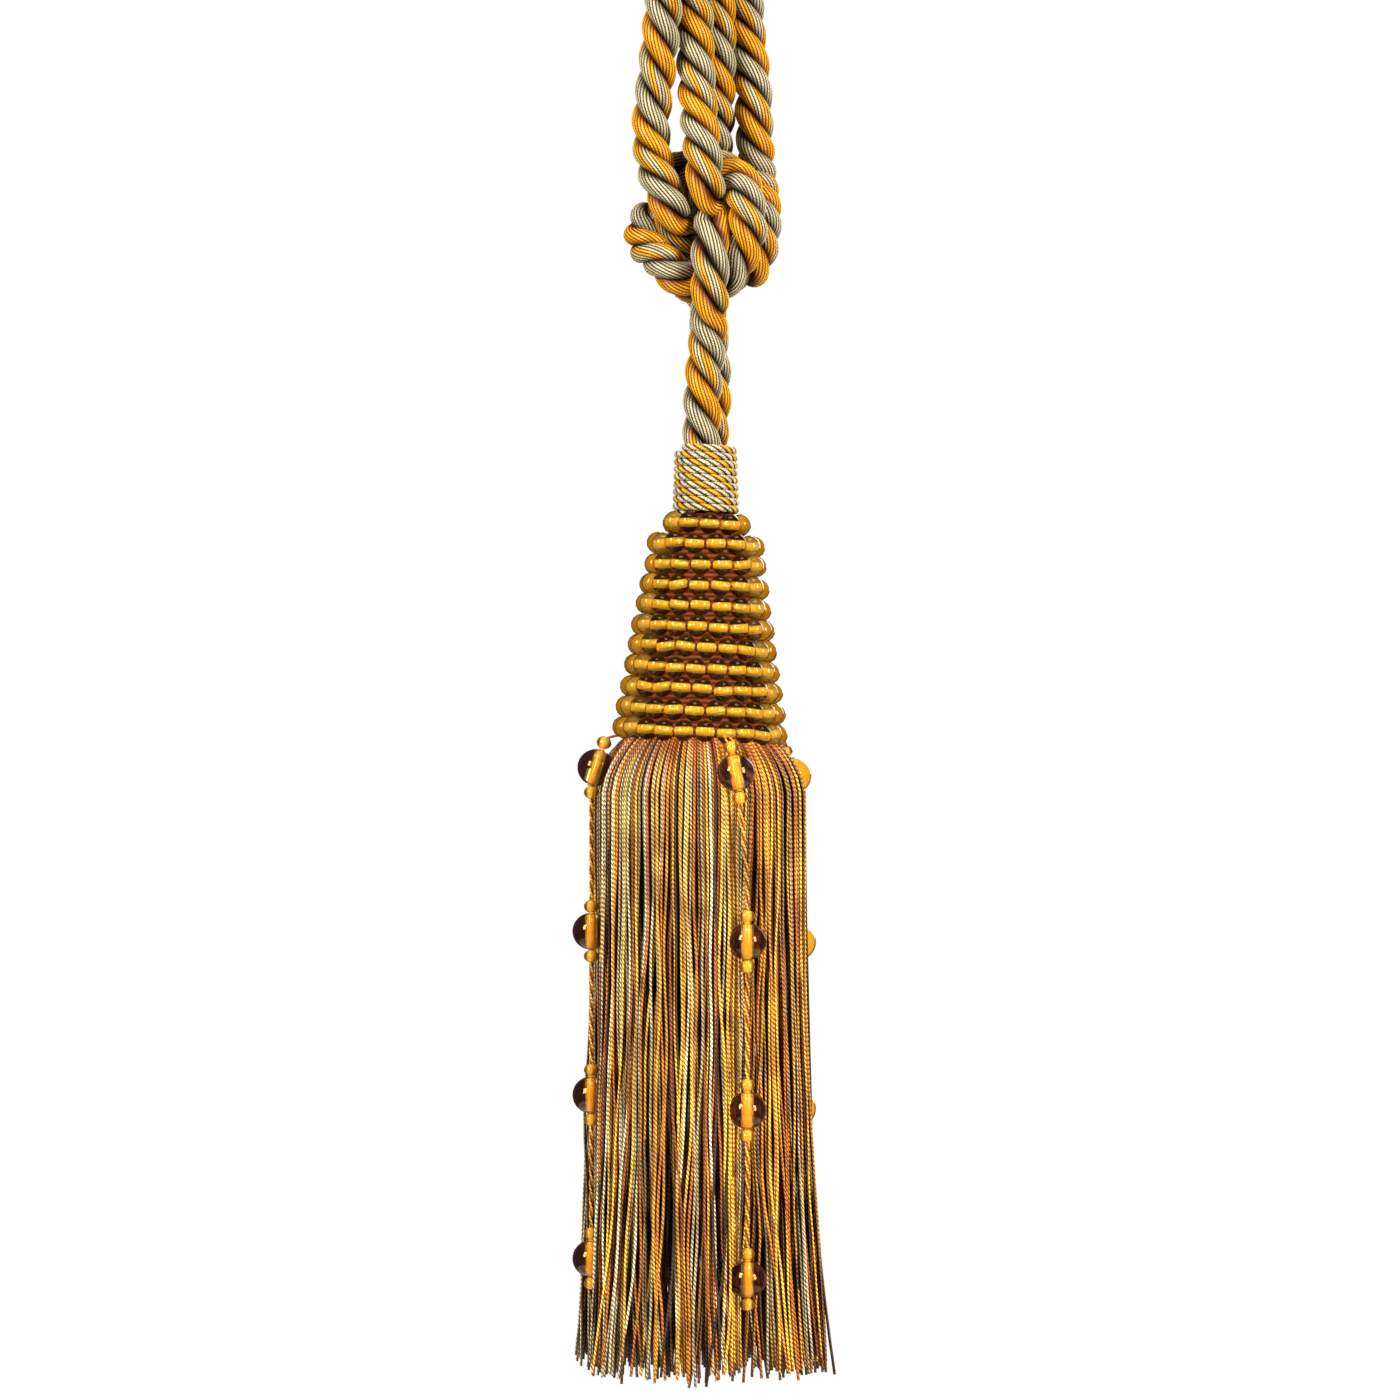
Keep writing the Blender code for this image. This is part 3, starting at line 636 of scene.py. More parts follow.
# Each pair of colours is a painted highlight colour and a painted shade colour.
collar_gold = satin_yarn("fine gold rayon cord", "#FFB81E", "#8A4608", gap_shade_specks=0.25)
collar_white = satin_yarn("fine off-white rayon cord", "#F6E2B8", "#6E4A1C", gap_shade_specks=0.55)
COLLAR_PLIES = {
    "collar_gold_ply": collar_gold,
    "collar_white_ply": collar_white,
    "collar_second_white_ply": collar_white,
}
for number, (ply_name, ply_yarn) in enumerate(COLLAR_PLIES.items()):
    angle = 2 * np.pi * (collar_wound * COLLAR_TWISTS_A_TURN + number / 3)[:, None]
    outwards = np.cos(angle) * collar_outwards + np.sin(angle) * collar_binormals
    ply_piece = tubes_piece(
        ply_name,
        (collar_line + fine_ply_offset * outwards)[None],
        outwards[None],
        0,
        fine_ply_radius,
        FINE_PLY_SIDES,
        0,
        ply_yarn,
    )
    if number == 0:
        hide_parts("collar")

# The head: a turned cone of wood wrapped in rust satin, with eleven rows of glass beads strung round it.
# Each bead is clear amber glass, round, with a yellow lining in its hole that shows as a bright bar.
BEAD_DIAMETER = 0.0052
BEAD_LENGTH = 0.0051
BEAD_GAP = 0.00012
GLASS_SWELL = 0.0056
LINING_RADIUS = 0.00068
BORE_RANGE = (0.86, 1.14)
LINING_SHARES = (0.82, 0.92)
BEAD_SIZES = (0.965, 1.02)
BEAD_TILT = 0.06
BEAD_STANDS_OUT = 0.0001
BEAD_SITS_UP = 0.00012
ROW_TOP = -0.14725
ROW_PITCH = 0.005175
ROW_COUNT = 11
ROW_EXTRA_SLANT = 0.022
ROW_SLANT_SCATTER = 0.008
ROWS_TO_FULL_SLANT = 3
TOP_ROW_RADIUS = 0.01125
SECOND_ROW_RADIUS = 0.0146
LAST_ROW_RADIUS = 0.0219
HEAD_TOP_X = 0.0004
HEAD_BOTTOM_X = -0.0012
CORE_INSET = 0.0050
CORE_EDGE = 0.0008
BEAD_END_HEIGHT = 0.49
BEAD_END_FLAT = 0.015
FACING_UP = 0.9
SHARP_EDGE_DEGREES = 40
WAVE_RADIANS = 20


def row_radius(row):
    """The outer radius of a row of beads: the top row is drawn in, the others widen evenly."""
    if row == 0:
        return TOP_ROW_RADIUS
    return SECOND_ROW_RADIUS + (LAST_ROW_RADIUS - SECOND_ROW_RADIUS) * (row - 1) / (ROW_COUNT - 2)


def copies_piece(name, model, places, material):
    """Copies of a modelled bead in one piece. A place is its middle, its three axes as rows, and its sizes.

    The attribute from_hole is 0 at a bead's hole and 1 round its waist, and hole is the way the hole runs.
    """
    mesh = model.data
    points = np.zeros(3 * len(mesh.vertices), np.float32)
    mesh.vertices.foreach_get("co", points)
    points = points.reshape(-1, 3)
    corners = np.zeros(len(mesh.loops), np.int32)
    mesh.loops.foreach_get("vertex_index", corners)
    starts = np.zeros(len(mesh.polygons), np.int32)
    mesh.polygons.foreach_get("loop_start", starts)
    count = np.arange(len(places))[:, None]
    piece = new_piece(
        name,
        np.concatenate([middle + (points * sizes) @ axes for middle, axes, sizes in places]),
        (corners + count * len(points)).ravel(),
        (starts + count * len(corners)).ravel(),
        material,
    )
    from_hole = np.hypot(points[:, 0], points[:, 1])
    add_attribute(piece, "from_hole", np.tile(from_hole / from_hole.max(), len(places)))
    add_attribute(piece, "hole", np.repeat([axes[2] for _, axes, _ in places], len(points), axis=0))
    return piece


def bead_model(name, segments, rings):
    """A round bead one unit across, its hole along Z, with its two ends drawn flat round the hole."""
    bpy.ops.object.select_all(action="DESELECT")
    bpy.ops.mesh.primitive_uv_sphere_add(segments=segments, ring_count=rings, radius=0.5)
    bead = bpy.context.object
    bead.name = name
    for end in (1, -1):
        bpy.ops.object.mode_set(mode="EDIT")
        bpy.ops.mesh.select_all(action="DESELECT")
        bpy.ops.object.mode_set(mode="OBJECT")
        for vertex in bead.data.vertices:
            vertex.select = end * vertex.co.z > BEAD_END_HEIGHT
        bpy.ops.object.mode_set(mode="EDIT")
        bpy.ops.transform.translate(value=(0, 0, -end * BEAD_END_FLAT))
        bpy.ops.object.mode_set(mode="OBJECT")
    return bead


def lining_model(name, sides):
    """A bead's lining: a bar one unit long and two across, along Z, with a ring of points at its middle."""
    bpy.ops.object.select_all(action="DESELECT")
    bpy.ops.mesh.primitive_cylinder_add(vertices=sides, radius=1, depth=1)
    lining = bpy.context.object
    lining.name = name
    bpy.ops.object.mode_set(mode="EDIT")
    bpy.ops.mesh.select_all(action="SELECT")
    bpy.ops.mesh.subdivide(number_cuts=1)
    bpy.ops.object.mode_set(mode="OBJECT")
    return lining


def bead_glass(name, clear, deep, rim, gilt, bar, through):
    """Pressed glass, fire-polished: clear over its lining, deep in colour beside it, painted dark at the rim.

    The deep colour is partly the glass's own colour and partly painted shade, for the dark core seen through
    it, and the rim colour is painted shade round the bead's edge. bar gives how far from the lining's middle
    line the deep colour starts and is full, as shares of the bead's radius, and through is how clear the glass
    is over the lining and beside it. The lining gilds a bead seen along its hole; gilt is that colour, painted
    in for the lining seen through the glass. The slight waviness of pressed glass, a few millimetres long,
    bends its highlights.
    """
    material, add, shader = new_material(
        name, {"Roughness": 0.08, "IOR": 1.5, "Specular IOR Level": 0.30, "Specular Tint": linear("#FFD48A")}
    )
    # The normal's part square to the hole tells how far round from the front a point of the glass lies.
    hole = add("Attribute", {"attribute_name": "hole"}).outputs["Vector"]
    from_hole = add("Attribute", {"attribute_name": "from_hole"}).outputs["Fac"]
    normal = add("NewGeometry", {}).outputs["Normal"]
    share = add("VectorMath", {"operation": "DOT_PRODUCT", 0: normal, 1: hole}).outputs["Value"]
    along = add("VectorMath", {"operation": "SCALE", 0: hole, "Scale": share})
    across = add("VectorMath", {"operation": "SUBTRACT", 0: normal, 1: along})
    across = add("VectorMath", {"operation": "NORMALIZE", 0: across})
    round_it = add("LayerWeight", {"Blend": 0.5, "Normal": across}).outputs["Facing"]
    end_on = add("LayerWeight", {"Blend": 0.5, "Normal": hole}).outputs["Facing"]
    # How far the bead is seen from the side of its hole, as a sine: 1 from the side and 0 end on.
    end_cosine = add("Math", {"operation": "SUBTRACT", 0: 1.0, 1: end_on})
    squared = add("Math", {"operation": "MULTIPLY", 0: end_cosine, 1: end_cosine})
    remainder = add("Math", {"operation": "SUBTRACT", 0: 1.0, 1: squared})
    broadside = add("Math", {"operation": "SQRT", 0: remainder})
    # The height above the lining's middle line, as a share of the bead's radius.
    towards = add("Math", {"operation": "SUBTRACT", 0: 1.0, 1: round_it})
    enough = add("Math", {"operation": "MAXIMUM", 0: broadside, 1: 0.2})
    cosine = add("Math", {"operation": "DIVIDE", "use_clamp": True, 0: towards, 1: enough})
    squared = add("Math", {"operation": "MULTIPLY", 0: cosine, 1: cosine})
    remainder = add("Math", {"operation": "SUBTRACT", 0: 1.0, 1: squared})
    sine = add("Math", {"operation": "SQRT", 0: remainder})
    height = add("Math", {"operation": "MULTIPLY", 0: sine, 1: from_hole})
    # The deep colour beside the lining: partly the glass's own colour, partly painted shade of the dark core.
    beside = add("MapRange", {**SMOOTH, "Value": height, "From Min": bar[0], "From Max": bar[1]})
    side_on = add("MapRange", {**SMOOTH, "Value": broadside, "From Min": 0.18, "From Max": 0.64})
    depth = add("Math", {"operation": "MULTIPLY", 0: beside, 1: side_on})
    # Painted shade round the bead's edge, where the glass turns away.
    edge = add("LayerWeight", {"Blend": 0.5}).outputs["Facing"]
    rim_shade_cover = add("MapRange", {**SMOOTH, "Value": edge, "From Min": 0.52, "From Max": 0.72})
    mixed = add("Mix", {"data_type": "RGBA", 0: side_on, 6: linear(gilt), 7: linear(clear)})
    for cover, colour in ((depth, deep), (rim_shade_cover, rim)):
        mixed = add("Mix", {"data_type": "RGBA", 0: cover, 6: mixed.outputs[2], 7: linear(colour)})
    gilded = add("Math", {"operation": "SUBTRACT", 0: 1.0, 1: side_on})
    most = add("Math", {"operation": "MAXIMUM", 0: depth, 1: gilded})
    most = add("Math", {"operation": "MAXIMUM", 0: most, 1: rim_shade_cover})
    clearness = add("MapRange", {"Value": most, "To Min": through[0], "To Max": through[1]})
    where = add("TexCoord", {})
    waves = add("TexNoise", {"Vector": where.outputs["Object"], "Scale": 420.0, "Detail": 1.0})
    bump = add("Bump", {"Height": waves.outputs["Fac"], "Strength": 0.15, "Distance": 0.0003})
    set_node(shader, {"Base Color": mixed.outputs[2], "Transmission Weight": clearness, "Normal": bump})
    return material


def bead_lining(name, light, dark):
    """Yellow enamel inside the glass: opaque, glossy, uneven in thickness over a millimetre or two."""
    material, add, shader = new_material(name, {"Roughness": 0.25})
    where = add("TexCoord", {})
    patches = add("TexNoise", {"Vector": where.outputs["Object"], "Scale": 900.0, "Detail": 2.0})
    mixed = add("Mix", {"data_type": "RGBA", 0: patches.outputs["Fac"], 6: linear(dark), 7: linear(light)})
    set_node(shader, {"Base Color": mixed.outputs[2]})
    return material


def wrapped_satin(name, light, dark, wrap_mm):
    """Satin thread wound close round a form: level lines, a little uneven, dull because the wraps are fine.

    The real wraps are wrap_mm apart. Their lines are drawn twice as far apart, so that they show, with the
    dark colour as painted shade between wraps. The wave texture runs on by 20 radians for each unit of its
    scale.
    """
    material, add, shader = new_material(name, {"Roughness": 0.75, "Specular IOR Level": 0.15})
    where = add("TexCoord", {})
    lines = add(
        "TexWave",
        {
            "bands_direction": "Z",
            "Vector": where.outputs["Object"],
            "Scale": 1000 / wrap_mm / WAVE_RADIANS * math.pi,
            "Distortion": 0.6,
            "Detail": 1.0,
        },
    )
    # Painted shade: the dark colour lies between wraps, the light one along them.
    mixed = add("Mix", {"data_type": "RGBA", 0: lines.outputs["Fac"], 6: linear(dark), 7: linear(light)})
    bump = add("Bump", {"Height": lines.outputs["Fac"], "Strength": 0.5, "Distance": 0.0002})
    set_node(shader, {"Base Color": mixed.outputs[2], "Normal": bump})
    return material


def finish_turned(piece, name, material):
    """Smooths the round piece just made, puts its place in its mesh, and names, finishes and places it."""
    bpy.ops.object.shade_smooth_by_angle(angle=math.radians(SHARP_EDGE_DEGREES))
    bpy.ops.object.transform_apply(location=True, rotation=True, scale=True)
    piece.name = name
    piece.data.materials.append(material)
    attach(piece, "root")


head_slant = math.atan((HEAD_TOP_X - HEAD_BOTTOM_X) / (ROW_PITCH * (ROW_COUNT - 1)))
core_step = ROW_TOP - 0.5 * ROW_PITCH
core_bottom = ROW_TOP - (ROW_COUNT - 0.5) * ROW_PITCH
bpy.ops.object.select_all(action="DESELECT")
bpy.ops.mesh.primitive_cone_add(
    vertices=64,
    radius1=LAST_ROW_RADIUS - CORE_INSET,
    radius2=SECOND_ROW_RADIUS - CORE_INSET,
    depth=core_step - core_bottom,
    location=((HEAD_TOP_X + HEAD_BOTTOM_X) / 2, 0, (core_step + core_bottom) / 2),
)
head_core = bpy.context.object
bpy.ops.object.mode_set(mode="EDIT")
bpy.ops.mesh.select_all(action="DESELECT")
bpy.ops.object.mode_set(mode="OBJECT")
for face in head_core.data.polygons:
    face.select = face.normal.z > FACING_UP
bpy.ops.object.mode_set(mode="EDIT")
bpy.ops.mesh.select_mode(type="FACE")
bpy.ops.mesh.inset(thickness=SECOND_ROW_RADIUS - TOP_ROW_RADIUS)
bpy.ops.mesh.extrude_region_move(TRANSFORM_OT_translate={"value": (0, 0, ROW_PITCH)})
bpy.ops.mesh.select_all(action="SELECT")
bpy.ops.transform.rotate(value=-head_slant, orient_axis="Y", center_override=head_core.location)
bpy.ops.object.mode_set(mode="OBJECT")
round_edges(head_core, CORE_EDGE, 3)
# Its dark colour is painted shade between the wraps.
core_satin = wrapped_satin("rust satin thread, wound", "#743002", "#240C00", 0.6)
finish_turned(head_core, "head_core", core_satin)
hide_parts("bead_head")

random = np.random.default_rng(11)
slant_cosine, slant_sine = math.cos(head_slant), math.sin(head_slant)
slant_turn = np.array([[slant_cosine, 0, -slant_sine], [0, 1, 0], [slant_sine, 0, slant_cosine]])
bead_places = []
lining_places = []
for row in range(ROW_COUNT):
    middle_radius = row_radius(row) - BEAD_DIAMETER / 2
    bead_count = round(2 * math.pi * middle_radius / (BEAD_LENGTH + BEAD_GAP))
    spacing = 2 * math.pi * middle_radius / bead_count - BEAD_GAP
    row_phase = random.uniform(0, 1)
    row_slant = ROW_EXTRA_SLANT * min(row / ROWS_TO_FULL_SLANT, 1) + random.normal(0, ROW_SLANT_SCATTER)
    for number in range(bead_count):
        turn = 2 * math.pi * (number + row_phase) / bead_count
        size = random.uniform(*BEAD_SIZES)
        outward = outwards_at(turn)
        level = -row * ROW_PITCH - row_slant * outward[0] * middle_radius + random.normal(0, BEAD_SITS_UP)
        reach = middle_radius + random.normal(0, BEAD_STANDS_OUT)
        middle = (reach * outward + np.array([0, 0, level])) @ slant_turn
        middle += np.array([HEAD_TOP_X, 0, ROW_TOP])
        string = outwards_at(turn + math.pi / 2) + np.array([0, 0, random.normal(0, BEAD_TILT)])
        string = unit(string @ slant_turn)
        outward = unit(np.cross(np.array([0, 0, 1.0]), string))
        axes = np.stack([outward, np.cross(string, outward), string])
        bead_places.append((middle, axes, np.array([GLASS_SWELL * size, GLASS_SWELL * size, spacing])))
        bore = LINING_RADIUS * random.uniform(*BORE_RANGE)
        length = random.uniform(*LINING_SHARES) * spacing
        lining_places.append((middle, axes, np.array([bore, bore, length])))
small_bead = bead_model("small_bead_model", 14, 8)
lining_bar = lining_model("lining_model", 10)
# Its rim colour is painted shade, and its deep colour partly the amber's own and partly painted shade.
amber_glass = bead_glass(
    "clear amber glass", "#E8BE50", "#200C03", "#4A2203", "#966204", (0.31, 0.43), (0.94, 0.30)
)
yellow_lining = bead_lining("yellow enamel lining", "#C89A14", "#8C640C")
head_glass = copies_piece("head_bead_glass", small_bead, bead_places, amber_glass)
copies_piece("head_bead_linings", lining_bar, lining_places, yellow_lining)
head_glass.visible_shadow = False

# The skirt: several hundred threads of two-ply satin, gold, rust, cream and dark brown, rolled up
# together and sewn into the head from below. They spring out over its edge and hang to a cut hem.
SKIRT_X = -0.0018
ROOT_Z = -0.2006
HEM_Z = -0.3576
SHOULDER_DROP = 0.0150
THREAD_POINTS = 28
THREAD_SIDES = 6
THREAD_RADIUS = 0.00036
THREAD_LAYERS = [
    # (threads, root radius, shoulder radius, hem radius, darkest tone, lightest tone), the outermost first;
    # the inner layers' darker tones are painted shade
    (220, 0.0172, 0.0257, 0.0308, 0.28, 1.40),
    (170, 0.0167, 0.0250, 0.0299, 0.10, 0.60),
    (130, 0.0160, 0.0241, 0.0288, 0.05, 0.24),
    (110, 0.0148, 0.0222, 0.0268, 0.10, 0.35),
    (76, 0.0112, 0.0180, 0.0222, 0.06, 0.20),
    (44, 0.0068, 0.0118, 0.0155, 0.06, 0.15),
    (16, 0.0025, 0.0045, 0.0070, 0.06, 0.15),
]
LAYER_STAGGER = 0.62
LAYER_SHRINK = 0.0006
SHOULDER_CURVE = 0.8
HEM_CURVE = 2.2
LAYER_HEM_RISE = 0.0004
CROWDING = 0.3
POINTS_UPWARDS = 1.45
HEM_RISE = (0.0010, 0.0013)
HEM_LOWEST = -0.0022
STRAY_SHARE = 0.05
STRAY_LENGTH = 0.004
STRAY_REACH = (0.0005, 0.0045)
STRAY_FLARE = 0.16
STRAY_CURVE = 1.5
FLARE = 0.070
FLARE_CURVE = 3.5
LEAN = 0.036
DEPTH_SCATTER = 0.0003
RIPPLE = 0.0007
RIPPLE_RADIANS = 7.0
FULL_SWING = 0.25
LOCK_WAVES = [
    # (swing, waves round the skirt, radians down it, radians on), for threads that hang together in locks
    (0.016, 11, 6.1, 0.0),
    (0.012, 23, -9.0, 1.3),
]
SWAY_WAVES = [(0.014, 9.0), (0.010, 21.0)]
MIXING = 0.618
MIXING_SCATTER = 0.42
THREAD_TWIST_MM = 1.15
BEAD_DROPS = {
    # side: (degrees round from the front at the root, the same lower down, first small bead, bead pitch)
    "front": (20.0, 27.0, -0.2030, 0.0415),
    "right": (111.0, 111.0, -0.2042, 0.0419),
    "back": (197.0, 195.0, -0.2034, 0.0412),
    "left": (278.0, 278.0, -0.2020, 0.0408),
}
DROP_RADIUS = 0.0268
DROP_ROOT_RADIUS = 0.0230
DROP_SWING = 0.0360
DROP_SHOULDER = 0.0120
DROP_STATIONS = 4
LARGE_BEAD_RADIUS = 0.0045
SMALL_BEAD_RADIUS = 0.0016
DROP_TIED_ABOVE = 1.25 * SMALL_BEAD_RADIUS
VALLEY_DEPTH = 0.0052
VALLEY_RISE = 0.008
VALLEY_ROUNDING = 0.0008
VALLEY_HALF_WIDTHS = {"front": 0.0062, "right": 0.0090, "back": 0.0062, "left": 0.0105}


def around(angle, radius, z):
    """Points at an angle from the front, turning towards +X, on a circle about the skirt's axis."""
    x, y = SKIRT_X + radius * np.sin(angle), -radius * np.cos(angle)
    return np.stack(np.broadcast_arrays(x, y, z), axis=-1)


def drop_place(side, z):
    """The angle and radius at which a bead drop hangs, at a height."""
    root_degrees, hanging_degrees, first, _ = BEAD_DROPS[side]
    fallen = first + DROP_TIED_ABOVE - z
    swing = np.clip(fallen / DROP_SWING, 0, 1)
    reach = np.clip(fallen / DROP_SHOULDER, 0, 1)
    degrees = root_degrees + (hanging_degrees - root_degrees) * swing
    return np.radians(degrees), DROP_ROOT_RADIUS + (DROP_RADIUS - DROP_ROOT_RADIUS) * reach


def large_bead_heights(side):
    """The heights of a drop's large beads."""
    _, _, first, pitch = BEAD_DROPS[side]
    top = first - SMALL_BEAD_RADIUS - LARGE_BEAD_RADIUS
    return [top - station * pitch for station in range(DROP_STATIONS)]


def held_back(angle, radius, z):
    """The threads' radii once they lie behind the bead drops, which hang in a shallow valley of the skirt."""
    for side in BEAD_DROPS:
        drop_angle, drop_radius = drop_place(side, z)
        offset = (angle - drop_angle + np.pi) % (2 * np.pi) - np.pi
        allowed = drop_radius - VALLEY_DEPTH + VALLEY_RISE * (offset * radius / VALLEY_HALF_WIDTHS[side]) ** 2
        spare = allowed - radius
        radius = radius + 0.5 * (spare - np.sqrt(spare**2 + VALLEY_ROUNDING**2)) + VALLEY_ROUNDING / 4
    return radius


def thread_paths(layer, random):
    """The lines that one layer's threads hang in, and how far round each starts.

    hang is 0 at the shoulder and 1 at the hem. A few stray threads are longer or shorter and stand out.
    """
    count, root, shoulder, hem, _, _ = THREAD_LAYERS[layer]
    uneven = random.uniform(-CROWDING, CROWDING, count)
    start = 2 * np.pi * (np.arange(count) + LAYER_STAGGER * layer + uneven) / count
    stray = random.uniform(0, 1, count) < STRAY_SHARE
    rise = random.normal(*HEM_RISE, count) - stray * random.uniform(-STRAY_LENGTH, STRAY_LENGTH, count)
    end = HEM_Z + np.maximum(rise, HEM_LOWEST) + LAYER_HEM_RISE * layer
    share = np.linspace(0, 1, THREAD_POINTS) ** POINTS_UPWARDS
    z = ROOT_Z + (end[:, None] - ROOT_Z) * share
    fallen = ROOT_Z - z
    over = np.clip(fallen / SHOULDER_DROP, 0, 1)
    hang = np.clip((fallen - SHOULDER_DROP) / (ROOT_Z - HEM_Z - SHOULDER_DROP), 0, 1.1)
    depth = random.normal(0, DEPTH_SCATTER, count)[:, None]
    radius = root + (shoulder + depth - root) * np.sin(over * np.pi / 2) ** SHOULDER_CURVE
    radius = radius + (hem - shoulder) * hang**HEM_CURVE
    phase = random.uniform(0, 2 * np.pi, (3, count))[..., None]
    turn = start[:, None]
    swing = sum(size * np.sin(waves * turn + down * hang + on) for size, waves, down, on in LOCK_WAVES)
    swing = swing + sum(size * np.sin(down * hang + on) for (size, down), on in zip(SWAY_WAVES, phase))
    lean = random.normal(0, LEAN, count)[:, None] * hang
    flare = random.normal(0, FLARE, count) + stray * random.normal(0, STRAY_FLARE, count)
    angle = turn + swing * np.minimum(hang / FULL_SWING, 1) + lean + flare[:, None] * hang**FLARE_CURVE
    stands_out = (stray * random.uniform(*STRAY_REACH, count))[:, None]
    radius = radius + RIPPLE * np.sin(RIPPLE_RADIANS * hang + phase[2]) * hang + stands_out * hang**STRAY_CURVE
    return around(angle, held_back(angle, radius - LAYER_SHRINK * layer, z), z), start


def skirt_thread(name, light, dark, head_shade=0.62):
    """Two-ply satin thread: painted highlights where plies cross, painted shade between plies and at its sides.

    The real plies cross every 0.5 mm. They are drawn every 1.15 mm, so that they show at this distance.
    Under the head the threads are painted darker and rust-tinted: painted shade, coloured by the beads above.
    """
    material, add, shader = new_material(name, {"Roughness": 0.40, "Specular IOR Level": 0.30})
    uv = add("UVMap", {"uv_map": "yarn"})
    parts = add("SeparateXYZ", {"Vector": uv})
    round_it = add("Math", {"operation": "MULTIPLY", 0: parts.outputs["X"], 1: 2.0})
    along = add("Math", {"operation": "DIVIDE", 0: parts.outputs["Y"], 1: THREAD_TWIST_MM})
    both = add("Math", {"operation": "ADD", 0: round_it, 1: along})
    # The thread's tone, its dye, is a random tone times the painted shade of its layer; it also sets where
    # its twist starts, so that no two threads match.
    dye = add("Attribute", {"attribute_name": "dye"}).outputs["Fac"]
    own = add("Math", {"operation": "MULTIPLY_ADD", 0: dye, 1: 97.0, 2: both})
    within = add("Math", {"operation": "PINGPONG", 0: own, 1: 0.5})
    # Painted light: a highlight where each ply crosses, painted shade between plies and along the sides.
    crest_highlight = add("MapRange", {**SMOOTH, "Value": within, "From Min": 0.03, "From Max": 0.40})
    outward = add("Attribute", {"attribute_name": "outward"}).outputs["Fac"]
    facing_light = add("MapRange", {**SMOOTH, "Value": outward, "From Min": -0.2, "From Max": 0.88})
    lit = add("Math", {"operation": "MULTIPLY", 0: crest_highlight, 1: facing_light})
    mixed = add("Mix", {"data_type": "RGBA", 0: lit, 6: linear(dark), 7: linear(light)})
    # Painted light and shade: locks of threads about 9 mm across are painted lighter or darker,
    # and a darker thread is also painted redder, as shade deepens its colour.
    where = add("TexCoord", {})
    lock_light_and_shade = add("TexNoise", {"Vector": where.outputs["Object"], "Scale": 110.0, "Detail": 2.0})
    tone = add(
        "MapRange",
        {"Value": lock_light_and_shade.outputs["Fac"], "From Min": 0.35, "From Max": 0.65, "To Min": 0.66, "To Max": 1.28},
    )
    tone = add("Math", {"operation": "MULTIPLY", 0: tone, 1: dye})
    green = add("Math", {"operation": "POWER", 0: tone, 1: 1.22})
    blue = add("Math", {"operation": "POWER", 0: tone, 1: 1.60})
    warm = add("CombineXYZ", {"X": tone, "Y": green, "Z": blue})
    toned = add("VectorMath", {"operation": "MULTIPLY", 0: mixed.outputs[2], 1: warm})
    # Painted shade, tinted rust, under the head.
    under = add(
        "MapRange",
        {"Value": parts.outputs["Y"], "From Min": 3.0, "From Max": 15.0, "To Min": head_shade, "To Max": 0.0},
    )
    shaded_under_head = add(
        "Mix", {"data_type": "RGBA", "blend_type": "MULTIPLY", 0: under, 6: toned, 7: linear("#B85C18")}
    )
    bump = add("Bump", {"Height": crest_highlight, "Strength": 0.6, "Distance": 0.00015})
    set_node(shader, {"Base Color": shaded_under_head.outputs[2], "Normal": bump})
    return material


SKIRT_THREADS = {
    # piece: (material, share of the threads, how much more of them there are on the left)
    # Each thread material's second colour is its painted shade.
    "skirt_gold_threads": (skirt_thread("gold satin thread", "#FFC034", "#6A2C02"), 0.42, -0.16),
    "skirt_rust_threads": (skirt_thread("rust satin thread", "#EA8418", "#4A1802"), 0.27, -0.14),
    "skirt_cream_threads": (skirt_thread("cream satin thread", "#EADAAA", "#503612"), 0.25, 0.36),
    "skirt_brown_threads": (skirt_thread("dark brown satin thread", "#4E2C12", "#0A0502"), 0.065, 0.0),
}
random = np.random.default_rng(23)
gathered = {name: [] for name in SKIRT_THREADS}
thread_names = list(SKIRT_THREADS)
for layer, (count, _, _, _, darkest, lightest) in enumerate(THREAD_LAYERS):
    lines, start = thread_paths(layer, random)
    # Each thread's tone: random, with the inner layers darker as painted shade.
    tones_with_layer_shade = random.uniform(darkest, lightest, count)
    drawn = (MIXING * np.arange(count) + random.uniform(0, MIXING_SCATTER, count)) % 1
    for index in range(count):
        leftwards = max(-math.sin(start[index]), 0.0)
        shares = np.array([share + leftwards * more for _, share, more in SKIRT_THREADS.values()])
        kind = int(np.searchsorted(np.cumsum(shares) / shares.sum(), drawn[index]))
        gathered[thread_names[kind]].append((lines[index], start[index], tones_with_layer_shade[index]))
for name, (thread_material, _, _) in SKIRT_THREADS.items():
    paths = np.stack([line for line, _, _ in gathered[name]])
    first = outwards_at(np.array([start for _, start, _ in gathered[name]]))
    first = np.broadcast_to(first[:, None], paths.shape)
    piece = tubes_piece(name, paths, first, 0, THREAD_RADIUS, THREAD_SIDES, 0, thread_material)
    tones_with_layer_shade = [tone for _, _, tone in gathered[name]]
    add_attribute(piece, "dye", np.repeat(tones_with_layer_shade, THREAD_POINTS * THREAD_SIDES))
    if name == "skirt_gold_threads":
        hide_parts("skirt")

# The rolled heading: the threads' roots, wound round with brown thread into a flat disc, which is sewn
# into the hollow under the head and shows only from below.
HEADING_RADIUS = 0.0172
HEADING_THICKNESS = 0.0034
HEADING_EDGE = 0.0012

bpy.ops.object.select_all(action="DESELECT")
bpy.ops.mesh.primitive_cylinder_add(
    vertices=64,
    radius=HEADING_RADIUS,
    depth=HEADING_THICKNESS,
    location=(SKIRT_X, 0, ROOT_Z - HEADING_THICKNESS / 2),
)
heading = bpy.context.object
round_edges(heading, HEADING_EDGE, 3)
